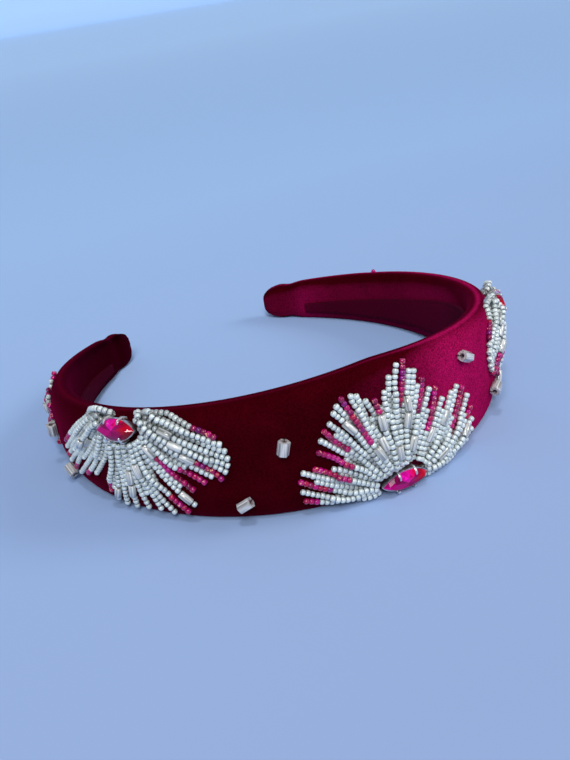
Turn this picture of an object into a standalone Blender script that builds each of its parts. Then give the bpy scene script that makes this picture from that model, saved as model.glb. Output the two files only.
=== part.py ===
"""Padded velvet headband sewn with bead fans, set stones and single tube beads.

Metres, +Z up. The band lies on its lower edge. Its crown faces -Y and its two arms run back
to +Y, where they end in rounded tips. A place on the band is given by `along`, the distance
along the outer face from the middle of the crown, positive to the right, and by `up`, the
share of the band's width there, 0 at the lower edge and 1 at the upper edge.
"""
import functools
import math

import bmesh
import bpy
from mathutils import Matrix, Vector

# The band's outline, seen from above and from the front
BAND_LENGTH = 0.421
TIP_TURN = math.radians(140.4)
ARM_STRAIGHTENING = 0.195
CROWN_WIDTH = 0.0385
TIP_WIDTH = 0.0132
WIDTH_TAPER = 1.22
CROWN_THICKNESS = 0.0093
TIP_THICKNESS = 0.0073

# Its cross-section: exponents under 1 turn an ellipse into a rounder or a boxier pad
EDGE_ROUNDING = 0.75
OUTER_ROUNDING = 0.75
INNER_ROUNDING = 0.4
SECTION_SIDES = 22
BAND_STATIONS = 50

# The rounded, gathered tips
TIP_LENGTH = 0.011
GATHER_FOLDS = 5
GATHER_DEPTH = 0.1
GATHER_REACH = 1.7
TIP_SHAPE = (
    # distance from the end in TIP_LENGTH, share of the full section
    (0.00, 0.34),
    (0.08, 0.60),
    (0.26, 0.84),
    (0.55, 0.97),
    (0.85, 1.00),
    (1.15, 0.90),
    (1.45, 0.96),
    (1.70, 1.00),
)

# The lining strip on the head side
LINING_THICKNESS = 0.0008
LINING_COLUMNS = 3
LINING_EDGES = (
    # share of the half length, lower edge and upper edge as shares of the band's width
    (0.00, 0.15, 0.85),
    (0.36, 0.15, 0.84),
    (0.50, 0.15, 0.74),
    (0.62, 0.16, 0.62),
    (0.76, 0.16, 0.52),
    (0.90, 0.20, 0.44),
)

# Clearance between pieces that are sewn or glued face to face
GAP = 0.0003

# The motifs: a set stone near one edge of the band, with three wings of bead strands that
# spread towards the other edge, upwards in a rising fan and downwards in a falling one
MOTIF_SPACING = 0.0750
CROWN_REACH = 0.0300
LEFT_REACH = 0.0330
RIGHT_REACH = 0.0270
ARM_REACH = 0.0200
MOTIFS = (
    # name, place in MOTIF_SPACING, reach, which way its first wing points, fan
    ("left_arm", -1.97, ARM_REACH, 1, "rising"),
    ("left", -1.00, LEFT_REACH, -1, "falling"),
    ("crown", 0.03, CROWN_REACH, -1, "rising"),
    ("right", 0.97, RIGHT_REACH, 1, "falling"),
    ("right_arm", 2.06, ARM_REACH, -1, "rising"),
)
STONE_MARGIN = {"rising": 0.0012, "falling": 0.0003}
ROOT_CLEARANCE = 0.0010
WINGS = (
    # fan, wing, and three guide strands from its first edge to its last: the root's angle
    # round the stone, then bend and tip, each along in reaches and out in shares of the way
    # from the stone to the far edge
    ("rising", "first", ((3, 0.60, -0.02, 0.92, 0.10),
                         (31, 0.60, 0.26, 0.82, 0.48),
                         (60, 0.38, 0.52, 0.47, 0.86))),
    ("rising", "middle", ((68, 0.31, 0.56, 0.39, 0.86),
                          (90, 0.00, 0.58, -0.10, 0.95),
                          (111, -0.26, 0.46, -0.40, 0.74))),
    ("rising", "last", ((120, -0.36, 0.41, -0.49, 0.67),
                        (148, -0.62, 0.30, -0.86, 0.58),
                        (177, -0.68, -0.02, -1.00, 0.05))),
    ("falling", "first", ((-55, 0.52, -0.12, 0.92, 0.32),
                          (8, 0.62, 0.22, 0.97, 0.62),
                          (48, 0.38, 0.42, 0.52, 0.66))),
    ("falling", "middle", ((57, 0.22, 0.54, 0.34, 0.76),
                           (90, -0.03, 0.60, -0.12, 0.88),
                           (120, -0.31, 0.50, -0.59, 0.79))),
    ("falling", "last", ((131, -0.38, 0.37, -0.62, 0.59),
                         (172, -0.62, 0.20, -0.96, 0.44),
                         (235, -0.58, -0.13, -0.92, 0.20))),
)
EDGE_MARGIN = 0.03
STRANDS_IN_WING = 8
STRAND_ROWS = 5
STRAND_DIAMETER = 0.0017
WING_HEIGHT = 0.0036
WING_ARCH = (
    # share of a strand's length, share of WING_HEIGHT at its crest
    (0.0, 0.50),
    (0.2, 0.86),
    (0.4, 1.00),
    (0.6, 0.92),
    (0.8, 0.70),
    (1.0, 0.47),
)
STRAND_GROOVE = 0.22
STRAND_REACH_SHARES = (1.00, 0.92, 0.97)
GROOVE_PULL_BACK = 0.05

# The navette stones and their claw settings
STONE_LENGTH = 0.0145
STONE_WIDTH = 0.0066
STONE_HEIGHT = 0.0042
STONE_SIDE_FACETS = 6
STONE_RINGS = (
    # inset in half widths, height in STONE_HEIGHT, from the setting's foot to the stone's table
    (0.22, 0.00),
    (0.04, 0.34),
    (-0.06, 0.60),
    (0.05, 0.63),
    (0.34, 0.88),
    (0.52, 1.00),
)
CLAW_WIDTH = 0.0010
CLAW_PLACE = 0.36
CLAW_PROFILE = (
    # offset from the stone's edge in half widths, height in STONE_HEIGHT
    (-0.34, 0.30),
    (0.12, 0.30),
    (0.12, 0.72),
    (-0.34, 0.94),
)

# The hexagonal tube beads
TUBE_LENGTH = 0.0040
TUBE_DIAMETER = 0.0034
TUBE_HOLE = 0.0012
TUBE_SIDES = 6
TUBE_BEADS = (
    # place in MOTIF_SPACING, up, turn of the bead's hole away from the band's length in degrees
    (-1.62, 0.55, 70.0),
    (-1.47, 0.16, -35.0),
    (-0.55, 0.20, 30.0),
    (-0.385, 0.63, 72.0),
    (0.395, 0.81, -25.0),
    (0.66, 0.30, 10.0),
    (1.47, 0.20, 35.0),
    (1.64, 0.58, -60.0),
)

# Colours, linear
VELVET_COLOUR = (0.120, 0.0022, 0.028)
LINING_COLOUR = (0.075, 0.0016, 0.018)
PEARL_COLOUR = (0.72, 0.74, 0.78)
STONE_COLOUR = (0.55, 0.003, 0.150)
CLEAR_GLASS_COLOUR = (0.80, 0.82, 0.86)

# How finely the curves are followed and their directions measured
HALF_LENGTH = BAND_LENGTH / 2
CREST_STEPS = 48
NEARBY = BAND_LENGTH / 400
TILT = math.radians(0.5)
SMOOTH_BELOW = math.radians(60)


def clear_scene():
    """Start from an empty scene."""
    for item in list(bpy.data.objects):
        bpy.data.objects.remove(item, do_unlink=True)


def between(table, place, column):
    """A column of a table whose first column rises, read between its rows."""
    rows = list(table)
    if place <= rows[0][0]:
        return rows[0][column]
    for low, high in zip(rows, rows[1:]):
        if place <= high[0]:
            share = (place - low[0]) / (high[0] - low[0])
            return low[column] + share * (high[column] - low[column])
    return rows[-1][column]


def heading(along):
    """How far the band has turned from +X: quickly at the crown, slowly along the arms."""
    share = along / HALF_LENGTH
    return TIP_TURN * ((1 + ARM_STRAIGHTENING) * share - ARM_STRAIGHTENING * share ** 3)


@functools.lru_cache(maxsize=None)
def crest(along):
    """The outermost line of the band, followed from the crown in short steps."""
    step = along / CREST_STEPS
    place = Vector((0, 0, 0))
    for number in range(CREST_STEPS):
        angle = heading((number + 0.5) * step)
        place += step * Vector((math.cos(angle), math.sin(angle), 0))
    return place


def outward(along):
    """The direction away from the head."""
    return Vector((math.sin(heading(along)), -math.cos(heading(along)), 0))


def band_width(along):
    """The band narrows from the crown to its tips."""
    share = min(1.0, abs(along) / HALF_LENGTH)
    return TIP_WIDTH + (CROWN_WIDTH - TIP_WIDTH) * (1 - share ** WIDTH_TAPER)


def band_thickness(along):
    """The padding is thickest at the crown."""
    share = min(1.0, abs(along) / HALF_LENGTH)
    return TIP_THICKNESS + (CROWN_THICKNESS - TIP_THICKNESS) * (1 - share ** 2)


def signed_power(value, exponent):
    """A power that keeps the sign of its base."""
    return math.copysign(abs(value) ** exponent, value)


def section_point(along, angle, size=1.0, stretch=1.0):
    """A point of the pad's cross-section: angle 0 is its upper edge, a right angle its outer face."""
    rounding = OUTER_ROUNDING if math.sin(angle) > 0 else INNER_ROUNDING
    rise = signed_power(math.cos(angle), EDGE_ROUNDING) * size * stretch
    depth = signed_power(math.sin(angle), rounding) * size
    middle = crest(along) - outward(along) * band_thickness(along) / 2
    level = Vector((0, 0, band_width(along) / 2 * (1 + rise)))
    return middle + level + outward(along) * depth * band_thickness(along) / 2


def face_angle(up):
    """The section angle on the outer face whose height is the given share of the width."""
    return math.acos(max(-1.0, min(1.0, signed_power(2 * up - 1, 1 / EDGE_ROUNDING))))


def face_frame(along, up):
    """A point on the outer face with the directions along the band and away from the velvet."""
    angle = face_angle(up)
    tangent = section_point(along + NEARBY, angle) - section_point(along - NEARBY, angle)
    across = section_point(along, angle - TILT) - section_point(along, angle + TILT)
    normal = tangent.cross(across).normalized()
    return section_point(along, angle), tangent.normalized(), normal


def on_face(along, up, lift):
    """A point that stands off the velvet by lift."""
    point, _, normal = face_frame(along, up)
    return point + normal * lift


def make_material(name, colour, roughness, metallic=0.0):
    """A Principled BSDF material."""
    material = bpy.data.materials.new(name)
    material.use_nodes = True
    shader = material.node_tree.nodes["Principled BSDF"]
    shader.inputs["Base Color"].default_value = (*colour, 1.0)
    shader.inputs["Roughness"].default_value = roughness
    shader.inputs["Metallic"].default_value = metallic
    return material


def make_object(name, mesh, material, parent):
    """An object for one piece, under the headband's empty."""
    piece = bpy.data.objects.new(name, mesh)
    bpy.context.scene.collection.objects.link(piece)
    if not mesh.materials:
        mesh.materials.append(material)
    piece.parent = parent
    return piece


def mesh_from(name, corners, faces, sharp_above=None):
    """A closed mesh with its faces pointing out, shaded smooth up to the given angle."""
    mesh = bpy.data.meshes.new(name)
    mesh.from_pydata(corners, [], faces)
    shape = bmesh.new()
    shape.from_mesh(mesh)
    bmesh.ops.recalc_face_normals(shape, faces=shape.faces)
    shape.to_mesh(mesh)
    shape.free()
    if sharp_above is not None:
        mesh.shade_smooth()
        mesh.set_sharp_from_angle(angle=sharp_above)
    return mesh


def loft(rings):
    """Corners and faces of a closed body through rings of equally many points."""
    sides = len(rings[0])
    corners = [point for ring in rings for point in ring]
    faces = [tuple(range(sides))]
    for row in range(len(rings) - 1):
        for side in range(sides):
            beside = (side + 1) % sides
            faces.append((row * sides + side, row * sides + beside,
                          (row + 1) * sides + beside, (row + 1) * sides + side))
    faces.append(tuple(range((len(rings) - 1) * sides, len(rings) * sides)))
    return corners, faces


def slab(grid_top, grid_bottom):
    """Corners and faces of a closed body between two grids of the same rows and columns."""
    rows = len(grid_top)
    columns = len(grid_top[0])
    corners = [point for grid in (grid_top, grid_bottom) for row in grid for point in row]
    below = rows * columns
    faces = []
    for row in range(rows - 1):
        for column in range(columns - 1):
            corner = row * columns + column
            quad = (corner, corner + 1, corner + columns + 1, corner + columns)
            faces.append(quad)
            faces.append(tuple(below + index for index in reversed(quad)))
    edge = list(range(columns))
    edge += [row * columns + columns - 1 for row in range(1, rows)]
    edge += [(rows - 1) * columns + column for column in range(columns - 2, -1, -1)]
    edge += [row * columns for row in range(rows - 2, 0, -1)]
    for first, second in zip(edge, edge[1:] + edge[:1]):
        faces.append((second, first, below + first, below + second))
    return corners, faces


def band_places():
    """Places of the band's sections: even along its length, close together at the tips."""
    tips = [HALF_LENGTH - row[0] * TIP_LENGTH for row in TIP_SHAPE]
    inner = tips[-1]
    steps = [inner * (2 * number / BAND_STATIONS - 1) for number in range(1, BAND_STATIONS)]
    return [-place for place in tips] + steps + tips[::-1]


def make_band(material, parent):
    """The padded velvet band, gathered into its rounded tips."""
    lowest_share = math.cos(math.pi / SECTION_SIDES) ** EDGE_ROUNDING
    rings = []
    for along in band_places():
        from_end = (HALF_LENGTH - abs(along)) / TIP_LENGTH
        size = between(TIP_SHAPE, from_end, 1)
        gather = GATHER_DEPTH * max(0.0, 1 - from_end / GATHER_REACH)
        ring = []
        for side in range(SECTION_SIDES):
            angle = 2 * math.pi * (side + 0.5) / SECTION_SIDES
            pinch = 1 - gather * (1 + math.cos(GATHER_FOLDS * angle)) / 2
            ring.append(section_point(along, angle, size * pinch, 1 / lowest_share))
        rings.append(ring)
    mesh = mesh_from("band", *loft(rings), sharp_above=SMOOTH_BELOW)
    return make_object("band", mesh, material, parent)


def make_lining(material, parent):
    """The strip that covers the seam on the head side, wide at the crown and narrow at the tips."""
    reach = LINING_EDGES[-1][0] * HALF_LENGTH
    places = [along for along in band_places() if abs(along) <= reach]
    layers = []
    for stand_off in (GAP + LINING_THICKNESS, GAP):
        grid = []
        for along in places:
            low = between(LINING_EDGES, abs(along) / HALF_LENGTH, 1)
            high = between(LINING_EDGES, abs(along) / HALF_LENGTH, 2)
            row = []
            for column in range(LINING_COLUMNS + 1):
                up = low + (high - low) * column / LINING_COLUMNS
                point = section_point(along, -face_angle(up))
                row.append(point - outward(along) * stand_off)
            grid.append(row)
        layers.append(grid)
    mesh = mesh_from("lining", *slab(*layers), sharp_above=SMOOTH_BELOW)
    return make_object("lining", mesh, material, parent)


def through_three(first, middle, last, share):
    """A smooth value that passes through three values at 0, a half and 1."""
    bend = 2 * middle - (first + last) / 2
    return (1 - share) ** 2 * first + 2 * share * (1 - share) * bend + share ** 2 * last


def strand_place(guides, across, share, reach, depth):
    """A point of a wing on the velvet, along and out from its stone, in metres.

    It lies `across` the wing's strands and a `share` of the way to their tips.
    """
    angle, bend_along, bend_out, tip_along, tip_out = (
        through_three(*(guide[column] for guide in guides), across) for column in range(5))
    root_along = (STONE_LENGTH / 2 + ROOT_CLEARANCE) * math.cos(math.radians(angle))
    root_out = (STONE_WIDTH / 2 + ROOT_CLEARANCE) * math.sin(math.radians(angle))
    along = through_three(root_along, bend_along * reach, tip_along * reach, share)
    out = through_three(root_out, bend_out * depth, tip_out * depth, share)
    return along, out


def stone_level(middle, fan):
    """How high a motif's stone sits, near the lower or the upper edge."""
    margin = STONE_WIDTH / 2 + STONE_MARGIN[fan]
    return margin if fan == "rising" else band_width(middle) - margin


def make_wing(name, middle, reach, facing, fan, guides, material, parent):
    """A thick bundle of bead strands that arch from the stone to their sewn-down tips."""
    columns = 2 * STRANDS_IN_WING
    width = band_width(middle)
    level = stone_level(middle, fan)
    depth = width - level if fan == "rising" else level
    direction = 1 if fan == "rising" else -1
    upper = []
    lower = []
    for row in range(STRAND_ROWS + 1):
        top_row = []
        bottom_row = []
        for column in range(columns + 1):
            share = row / STRAND_ROWS
            arch = WING_HEIGHT * between(WING_ARCH, share, 1)
            if column % 2:
                length = STRAND_REACH_SHARES[column // 2 % len(STRAND_REACH_SHARES)]
            else:
                length = min(STRAND_REACH_SHARES) - GROOVE_PULL_BACK
                arch *= 1 - STRAND_GROOVE
            if column in (0, columns):
                arch = STRAND_DIAMETER / 2
            along, out = strand_place(guides, column / columns, share * length, reach, depth)
            place = middle + facing * along
            up = min(1 - EDGE_MARGIN, max(EDGE_MARGIN, (level + direction * out) / width))
            top_row.append(on_face(place, up, GAP + arch))
            bottom_row.append(on_face(place, up, GAP))
        upper.append(top_row)
        lower.append(bottom_row)
    mesh = mesh_from(name, *slab(upper, lower), sharp_above=SMOOTH_BELOW)
    return make_object(name, mesh, material, parent)


def navette(inset, height):
    """A pointed oval of two arcs, as a ring of points."""
    half_length = STONE_LENGTH / 2 - inset
    half_width = STONE_WIDTH / 2 - inset
    radius = (half_length ** 2 + half_width ** 2) / (2 * half_width)
    opening = math.asin(half_length / radius)
    ring = []
    for side in (1, -1):
        for step in range(STONE_SIDE_FACETS):
            angle = side * opening * (1 - 2 * step / STONE_SIDE_FACETS)
            rise = radius * math.cos(angle) - (radius - half_width)
            ring.append(Vector((radius * math.sin(angle), side * rise, height)))
    return ring


def make_claw(end, side):
    """One claw of a setting, a small block that folds over the stone's edge."""
    along = end * CLAW_PLACE * STONE_LENGTH / 2
    edge = sorted((point.x, point.y) for point in navette(0, 0) if point.y >= 0)
    reach = between(edge, along, 1)
    rings = []
    for half in (-0.5, 0.5):
        ring = []
        for offset, level in CLAW_PROFILE:
            out = reach + offset * STONE_WIDTH / 2
            ring.append(Vector((along + half * CLAW_WIDTH, side * out, level * STONE_HEIGHT)))
        rings.append(ring)
    return bpy.data.objects.new("claw", mesh_from("claw", *loft(rings)))


def stone_mesh(material):
    """A navette stone with a table and side facets, fused to its setting and four claws."""
    rings = [navette(inset * STONE_WIDTH / 2, height * STONE_HEIGHT) for inset, height in STONE_RINGS]
    body = bpy.data.objects.new("stone_body", mesh_from("stone_body", *loft(rings)))
    bpy.context.scene.collection.objects.link(body)
    claws = [make_claw(end, side) for end in (-1, 1) for side in (-1, 1)]
    for claw in claws:
        bpy.context.scene.collection.objects.link(claw)
        union = body.modifiers.new("claw", "BOOLEAN")
        union.operation = "UNION"
        union.object = claw
    seen = body.evaluated_get(bpy.context.evaluated_depsgraph_get())
    mesh = bpy.data.meshes.new_from_object(seen)
    mesh.name = "stone"
    mesh.materials.clear()
    mesh.materials.append(material)
    for item in [body] + claws:
        bpy.data.objects.remove(item, do_unlink=True)
    return mesh


def stand_on_face(piece, along, up, lift, turn=0.0):
    """Set a piece down on the velvet: its own X runs along the band and its Z points away."""
    point, tangent, normal = face_frame(along, up)
    across = normal.cross(tangent)
    axes = Matrix((tangent, across, normal)).transposed().to_4x4()
    piece.matrix_local = Matrix.Translation(point + normal * lift) @ axes @ Matrix.Rotation(turn, 4, "Z")


def tube_mesh():
    """A six-sided tube bead with its hole along X, lying on one flat."""
    rings = []
    for end in (-0.5, 0.5):
        outer = []
        inner = []
        for side in range(TUBE_SIDES):
            angle = 2 * math.pi * side / TUBE_SIDES
            direction = Vector((0, math.cos(angle), math.sin(angle)))
            outer.append(direction * TUBE_DIAMETER / 2 + Vector((end * TUBE_LENGTH, 0, 0)))
            inner.append(direction * TUBE_HOLE / 2 + Vector((end * TUBE_LENGTH, 0, 0)))
        rings.append((outer, inner))
    order = [rings[0][0], rings[1][0], rings[1][1], rings[0][1]]
    corners = [point for ring in order for point in ring]
    faces = []
    for row in range(4):
        for side in range(TUBE_SIDES):
            beside = (side + 1) % TUBE_SIDES
            ahead = (row + 1) % 4
            faces.append((row * TUBE_SIDES + side, row * TUBE_SIDES + beside,
                          ahead * TUBE_SIDES + beside, ahead * TUBE_SIDES + side))
    return mesh_from("tube_bead", corners, faces)


def centre_on_origin(headband, pieces):
    """Put the origin at the middle of the headband's footprint, level with its lower edge."""
    bpy.context.view_layer.update()
    corners = [piece.matrix_world @ vertex.co for piece in pieces for vertex in piece.data.vertices]
    low = [min(corner[axis] for corner in corners) for axis in range(3)]
    high = [max(corner[axis] for corner in corners) for axis in range(3)]
    headband.location = (-(low[0] + high[0]) / 2, -(low[1] + high[1]) / 2, -low[2])


def build():
    """Make every piece of the headband."""
    clear_scene()
    headband = bpy.data.objects.new("headband", None)
    bpy.context.scene.collection.objects.link(headband)

    velvet = make_material("velvet", VELVET_COLOUR, 0.9)
    lining = make_material("lining", LINING_COLOUR, 0.95)
    pearl = make_material("pearl beads", PEARL_COLOUR, 0.25)
    stone = make_material("pink stone", STONE_COLOUR, 0.08)
    clear_glass = make_material("clear glass", CLEAR_GLASS_COLOUR, 0.1)

    pieces = [make_band(velvet, headband), make_lining(lining, headband)]

    set_stone = stone_mesh(stone)
    for name, place, reach, facing, fan in MOTIFS:
        middle = place * MOTIF_SPACING
        piece = make_object("stone_" + name, set_stone, stone, headband)
        stand_on_face(piece, middle, stone_level(middle, fan) / band_width(middle), GAP)
        pieces.append(piece)
        for wing_fan, wing, guides in WINGS:
            if wing_fan == fan:
                label = "fan_" + name + "_" + wing
                pieces.append(make_wing(label, middle, reach, facing, fan, guides, pearl, headband))

    tube = tube_mesh()
    flat_height = TUBE_DIAMETER / 2 * math.cos(math.pi / TUBE_SIDES)
    for number, (place, up, turn) in enumerate(TUBE_BEADS, start=1):
        piece = make_object("tube_bead_" + str(number), tube, clear_glass, headband)
        stand_on_face(piece, place * MOTIF_SPACING, up, GAP + flat_height, math.radians(turn))
        pieces.append(piece)

    centre_on_origin(headband, pieces)


build()
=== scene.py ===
# %% [markdown]
# # A padded velvet headband sewn with bead fans
# The solids of the headband are packed already: a padded band, its lining, five set stones,
# fifteen wings of bead strands and eight tube beads. This lesson dresses them. Each solid keeps
# its place and its size, and a finer piece stands in for it: real strands of small beads for a
# wing, a cut stone in a claw setting for a plain stone. The first step loads the solids and
# notes the box they fill, so that the finished model can be held against it at the end.

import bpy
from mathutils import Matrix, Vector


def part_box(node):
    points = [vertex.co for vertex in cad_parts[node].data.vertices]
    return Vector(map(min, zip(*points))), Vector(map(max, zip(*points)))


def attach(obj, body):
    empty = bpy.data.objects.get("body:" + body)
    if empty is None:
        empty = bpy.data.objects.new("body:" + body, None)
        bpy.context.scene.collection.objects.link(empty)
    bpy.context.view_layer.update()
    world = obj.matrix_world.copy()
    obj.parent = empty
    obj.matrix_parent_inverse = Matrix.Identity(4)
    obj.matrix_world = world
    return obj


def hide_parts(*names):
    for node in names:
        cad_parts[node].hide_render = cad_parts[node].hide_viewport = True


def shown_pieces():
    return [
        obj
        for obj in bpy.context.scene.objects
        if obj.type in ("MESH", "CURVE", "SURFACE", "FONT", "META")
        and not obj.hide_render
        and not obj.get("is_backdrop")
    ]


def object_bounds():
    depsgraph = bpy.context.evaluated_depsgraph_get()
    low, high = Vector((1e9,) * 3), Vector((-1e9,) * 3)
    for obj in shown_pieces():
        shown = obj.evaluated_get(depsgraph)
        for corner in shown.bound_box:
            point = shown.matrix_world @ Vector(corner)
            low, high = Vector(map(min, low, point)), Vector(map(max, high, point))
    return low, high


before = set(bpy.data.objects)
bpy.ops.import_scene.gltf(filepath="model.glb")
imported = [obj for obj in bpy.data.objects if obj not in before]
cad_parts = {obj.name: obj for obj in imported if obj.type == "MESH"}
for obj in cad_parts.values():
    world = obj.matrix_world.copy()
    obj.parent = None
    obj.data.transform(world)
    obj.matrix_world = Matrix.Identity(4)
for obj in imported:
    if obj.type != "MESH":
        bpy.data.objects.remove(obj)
solid_low, solid_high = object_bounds()


def in_mm(lengths, digits=1):
    """Metres as rounded millimetres, for what the cells print."""
    return [round(1000 * float(length), digits) for length in lengths]


print("solids:", len(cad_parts), "box in mm:", in_mm(solid_high - solid_low))

# %% [markdown]
# ## The camera
# The headband is seen from the front left and from above, with the camera rolled by some nine
# degrees. A camera needs a place, a direction and a lens. A matrix built from three axes says
# all of the direction at once and has no gimbal trouble, so the axes are worked out from the
# turn, the dip and the roll. The focal length is known in pixels, and becomes millimetres by
# way of the picture's long side.

# %% Camera
import bpy
import functools
import math
import random

import bmesh
import numpy as np
from mathutils import Matrix, Vector

PICTURE_LONG_SIDE = 760
FOCAL_PIXELS = 850
SENSOR_MM = 36.0
SEEN_FROM = 0.01
SEEN_TO = 60
CAMERA_PLACE = Vector((-0.0970, -0.2487, 0.1286))
CAMERA_TURN = math.radians(21.989)
CAMERA_DIP = math.radians(24.543)
CAMERA_ROLL = math.radians(-9.387)


def add_object(name, data):
    """A new object in the scene, for a mesh, a lamp or a camera."""
    made = bpy.data.objects.new(name, data)
    bpy.context.scene.collection.objects.link(made)
    return made


def placed(place, *axes):
    """The matrix that puts something at a place, with its own axes along three directions."""
    return Matrix.Translation(place) @ Matrix(axes).transposed().to_4x4()


def add_camera():
    """A camera that looks along its turn and dip, then rolls about that line."""
    forward = Vector((math.sin(CAMERA_TURN) * math.cos(CAMERA_DIP),
                      math.cos(CAMERA_TURN) * math.cos(CAMERA_DIP), -math.sin(CAMERA_DIP)))
    level = Vector((math.cos(CAMERA_TURN), -math.sin(CAMERA_TURN), 0))
    above = level.cross(forward)
    right = math.cos(CAMERA_ROLL) * level + math.sin(CAMERA_ROLL) * above
    up = -math.sin(CAMERA_ROLL) * level + math.cos(CAMERA_ROLL) * above
    lens = bpy.data.cameras.new("camera")
    lens.sensor_width = SENSOR_MM
    lens.lens = FOCAL_PIXELS * SENSOR_MM / PICTURE_LONG_SIDE
    lens.clip_start = SEEN_FROM
    lens.clip_end = SEEN_TO
    camera = add_object("camera", lens)
    camera.matrix_world = placed(CAMERA_PLACE, right, up, -forward)
    bpy.context.scene.camera = camera
    return camera


camera = add_camera()
print("lens in mm:", round(camera.data.lens, 2))

# %% [markdown]
# ## Writing materials as sums
# A material here is a graph of nodes, and a graph is tiring to write node by node. Two small
# classes make it short. Value wraps the output of a node and understands +, -, *, / and **, so
# that 1 - mask is a line of Python that adds a Math node. Recipe adds any other node from its
# type, its settings and what its sockets take. Both serve Geometry Nodes as well.

# %% Value and Recipe


class Value:
    """The number that leaves a node, ready for sums."""

    def __init__(self, recipe, socket):
        self.recipe = recipe
        self.socket = socket

    def __add__(self, other):
        return self.recipe.maths("ADD", self, other)

    def __sub__(self, other):
        return self.recipe.maths("SUBTRACT", self, other)

    def __rsub__(self, other):
        return self.recipe.maths("SUBTRACT", other, self)

    def __mul__(self, other):
        return self.recipe.maths("MULTIPLY", self, other)

    def __truediv__(self, other):
        return self.recipe.maths("DIVIDE", self, other)

    def __pow__(self, other):
        return self.recipe.maths("POWER", self, other)

    __radd__ = __add__
    __rmul__ = __mul__


class Recipe:
    """A node tree that is being written."""

    def __init__(self, tree):
        self.tree = tree

    def feed(self, socket, value):
        """Link a value into a socket, or set the socket to a constant."""
        if isinstance(value, Value):
            self.tree.links.new(value.socket, socket)
        else:
            socket.default_value = value

    def node(self, kind, settings=None, sockets=None):
        """A node: its settings come first, because they decide which sockets it shows."""
        made = self.tree.nodes.new(kind)
        for name, setting in (settings or {}).items():
            if name == "stops":
                while len(made.color_ramp.elements) < len(setting):
                    made.color_ramp.elements.new(0.5)
                for element, (place, colour) in zip(made.color_ramp.elements, setting):
                    element.position = place
                    element.color = (*colour, 1.0)
            else:
                setattr(made, name, setting)
        for name, value in (sockets or {}).items():
            shown = [socket for socket in made.inputs if socket.enabled and socket.name == name]
            self.feed(made.inputs[name] if isinstance(name, int) else shown[0], value)
        return made

    def out(self, node, name=0):
        """One output of a node as a Value."""
        shown = [socket for socket in node.outputs if socket.enabled]
        if isinstance(name, int):
            return Value(self, shown[name])
        return Value(self, [socket for socket in shown if socket.name == name][0])

    def take(self, kind, settings=None, sockets=None, output=0):
        """A new node's output as a Value, for a node that only one output is wanted of."""
        return self.out(self.node(kind, settings, sockets), output)

    def maths(self, operation, *values):
        """A Math node on one, two or three numbers."""
        sockets = dict(enumerate(values))
        return self.take("ShaderNodeMath", {"operation": operation}, sockets)

    def clamped(self, value):
        """The value, held between 0 and 1."""
        return self.take("ShaderNodeClamp", {}, {"Value": value})

    def blend(self, share, first, second):
        """A colour part of the way from the first to the second."""
        sockets = {"Factor": share, "A": first, "B": second}
        return self.take("ShaderNodeMix", {"data_type": "RGBA"}, sockets)

    def stretched(self, value, low, high):
        """0 below low, 1 above high, and a straight run between them."""
        sockets = {"Value": value, "From Min": low, "From Max": high}
        return self.take("ShaderNodeMapRange", {"clamp": True}, sockets)

    def object_place(self):
        """Where a point is on the piece."""
        return self.take("ShaderNodeTexCoord", output="Object")

    def axes(self, vector):
        """The three numbers of a vector."""
        parts = self.node("ShaderNodeSeparateXYZ", {}, {"Vector": vector})
        return [self.out(parts, axis) for axis in "XYZ"]

    def scaled(self, vector, times):
        """A vector with each of its numbers multiplied."""
        return self.take("ShaderNodeVectorMath", {"operation": "MULTIPLY"}, {0: vector, 1: times})

    def noise(self, place, scale, detail=2.0, roughness=0.5, distortion=0.0):
        """Soft random values; the scale is in repeats a metre."""
        sockets = {"Vector": place, "Scale": scale, "Detail": detail,
                   "Roughness": roughness, "Distortion": distortion}
        return self.take("ShaderNodeTexNoise", {}, sockets)

    def attribute(self, name, output="Fac"):
        """A named attribute of the mesh."""
        return self.take("ShaderNodeAttribute", {"attribute_name": name}, output=output)

    def bump(self, height, distance, strength=1.0, below=None):
        """A normal bent by a height, in metres."""
        sockets = {"Height": height, "Distance": distance, "Strength": strength}
        if below is not None:
            sockets["Normal"] = below
        return self.take("ShaderNodeBump", {}, sockets)


def finish(name, constants):
    """A new material: its recipe and its Principled shader with the constants set."""
    material = bpy.data.materials.new(name)
    material.use_nodes = True
    recipe = Recipe(material.node_tree)
    shader = material.node_tree.nodes["Principled BSDF"]
    for label, value in constants.items():
        shader.inputs[label].default_value = value
    return material, recipe, shader


print("sums ready")

# %% [markdown]
# ## A plain floor, a curved backdrop and soft light
# Products are often shown on one sheet that runs up behind them in a curve, so that no edge of
# the floor shows. A row of points with a quarter circle in it, drawn out sideways, gives that
# sheet. Sun lamps with a wide disc light the whole sheet alike and cast soft shadows: one from
# the right for the pile of the velvet, one from the front that models the round beads. A small
# panel overhead adds a second highlight. The sheet is stage, not part of the headband. The
# plain view transform keeps the deep reds as deep as they are mixed.

# %% Floor, backdrop and lights
FLOOR_NEAR = (0.315, 0.430, 0.700, 1.0)
FLOOR_MIDDLE = (0.360, 0.540, 0.860, 1.0)
FLOOR_FAR = (0.430, 0.640, 0.960, 1.0)
FLOOR_DROP = 0.00003
FLOOR_FRONT = -3.0
FLOOR_BACK = 24.0
FLOOR_HALF_WIDTH = 20.0
BACKDROP_BEND = 4.0
BACKDROP_TOP = 12.0
BACKDROP_STEPS = 24
LAMP_AIM = Vector((0, 0, 0.02))


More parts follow.
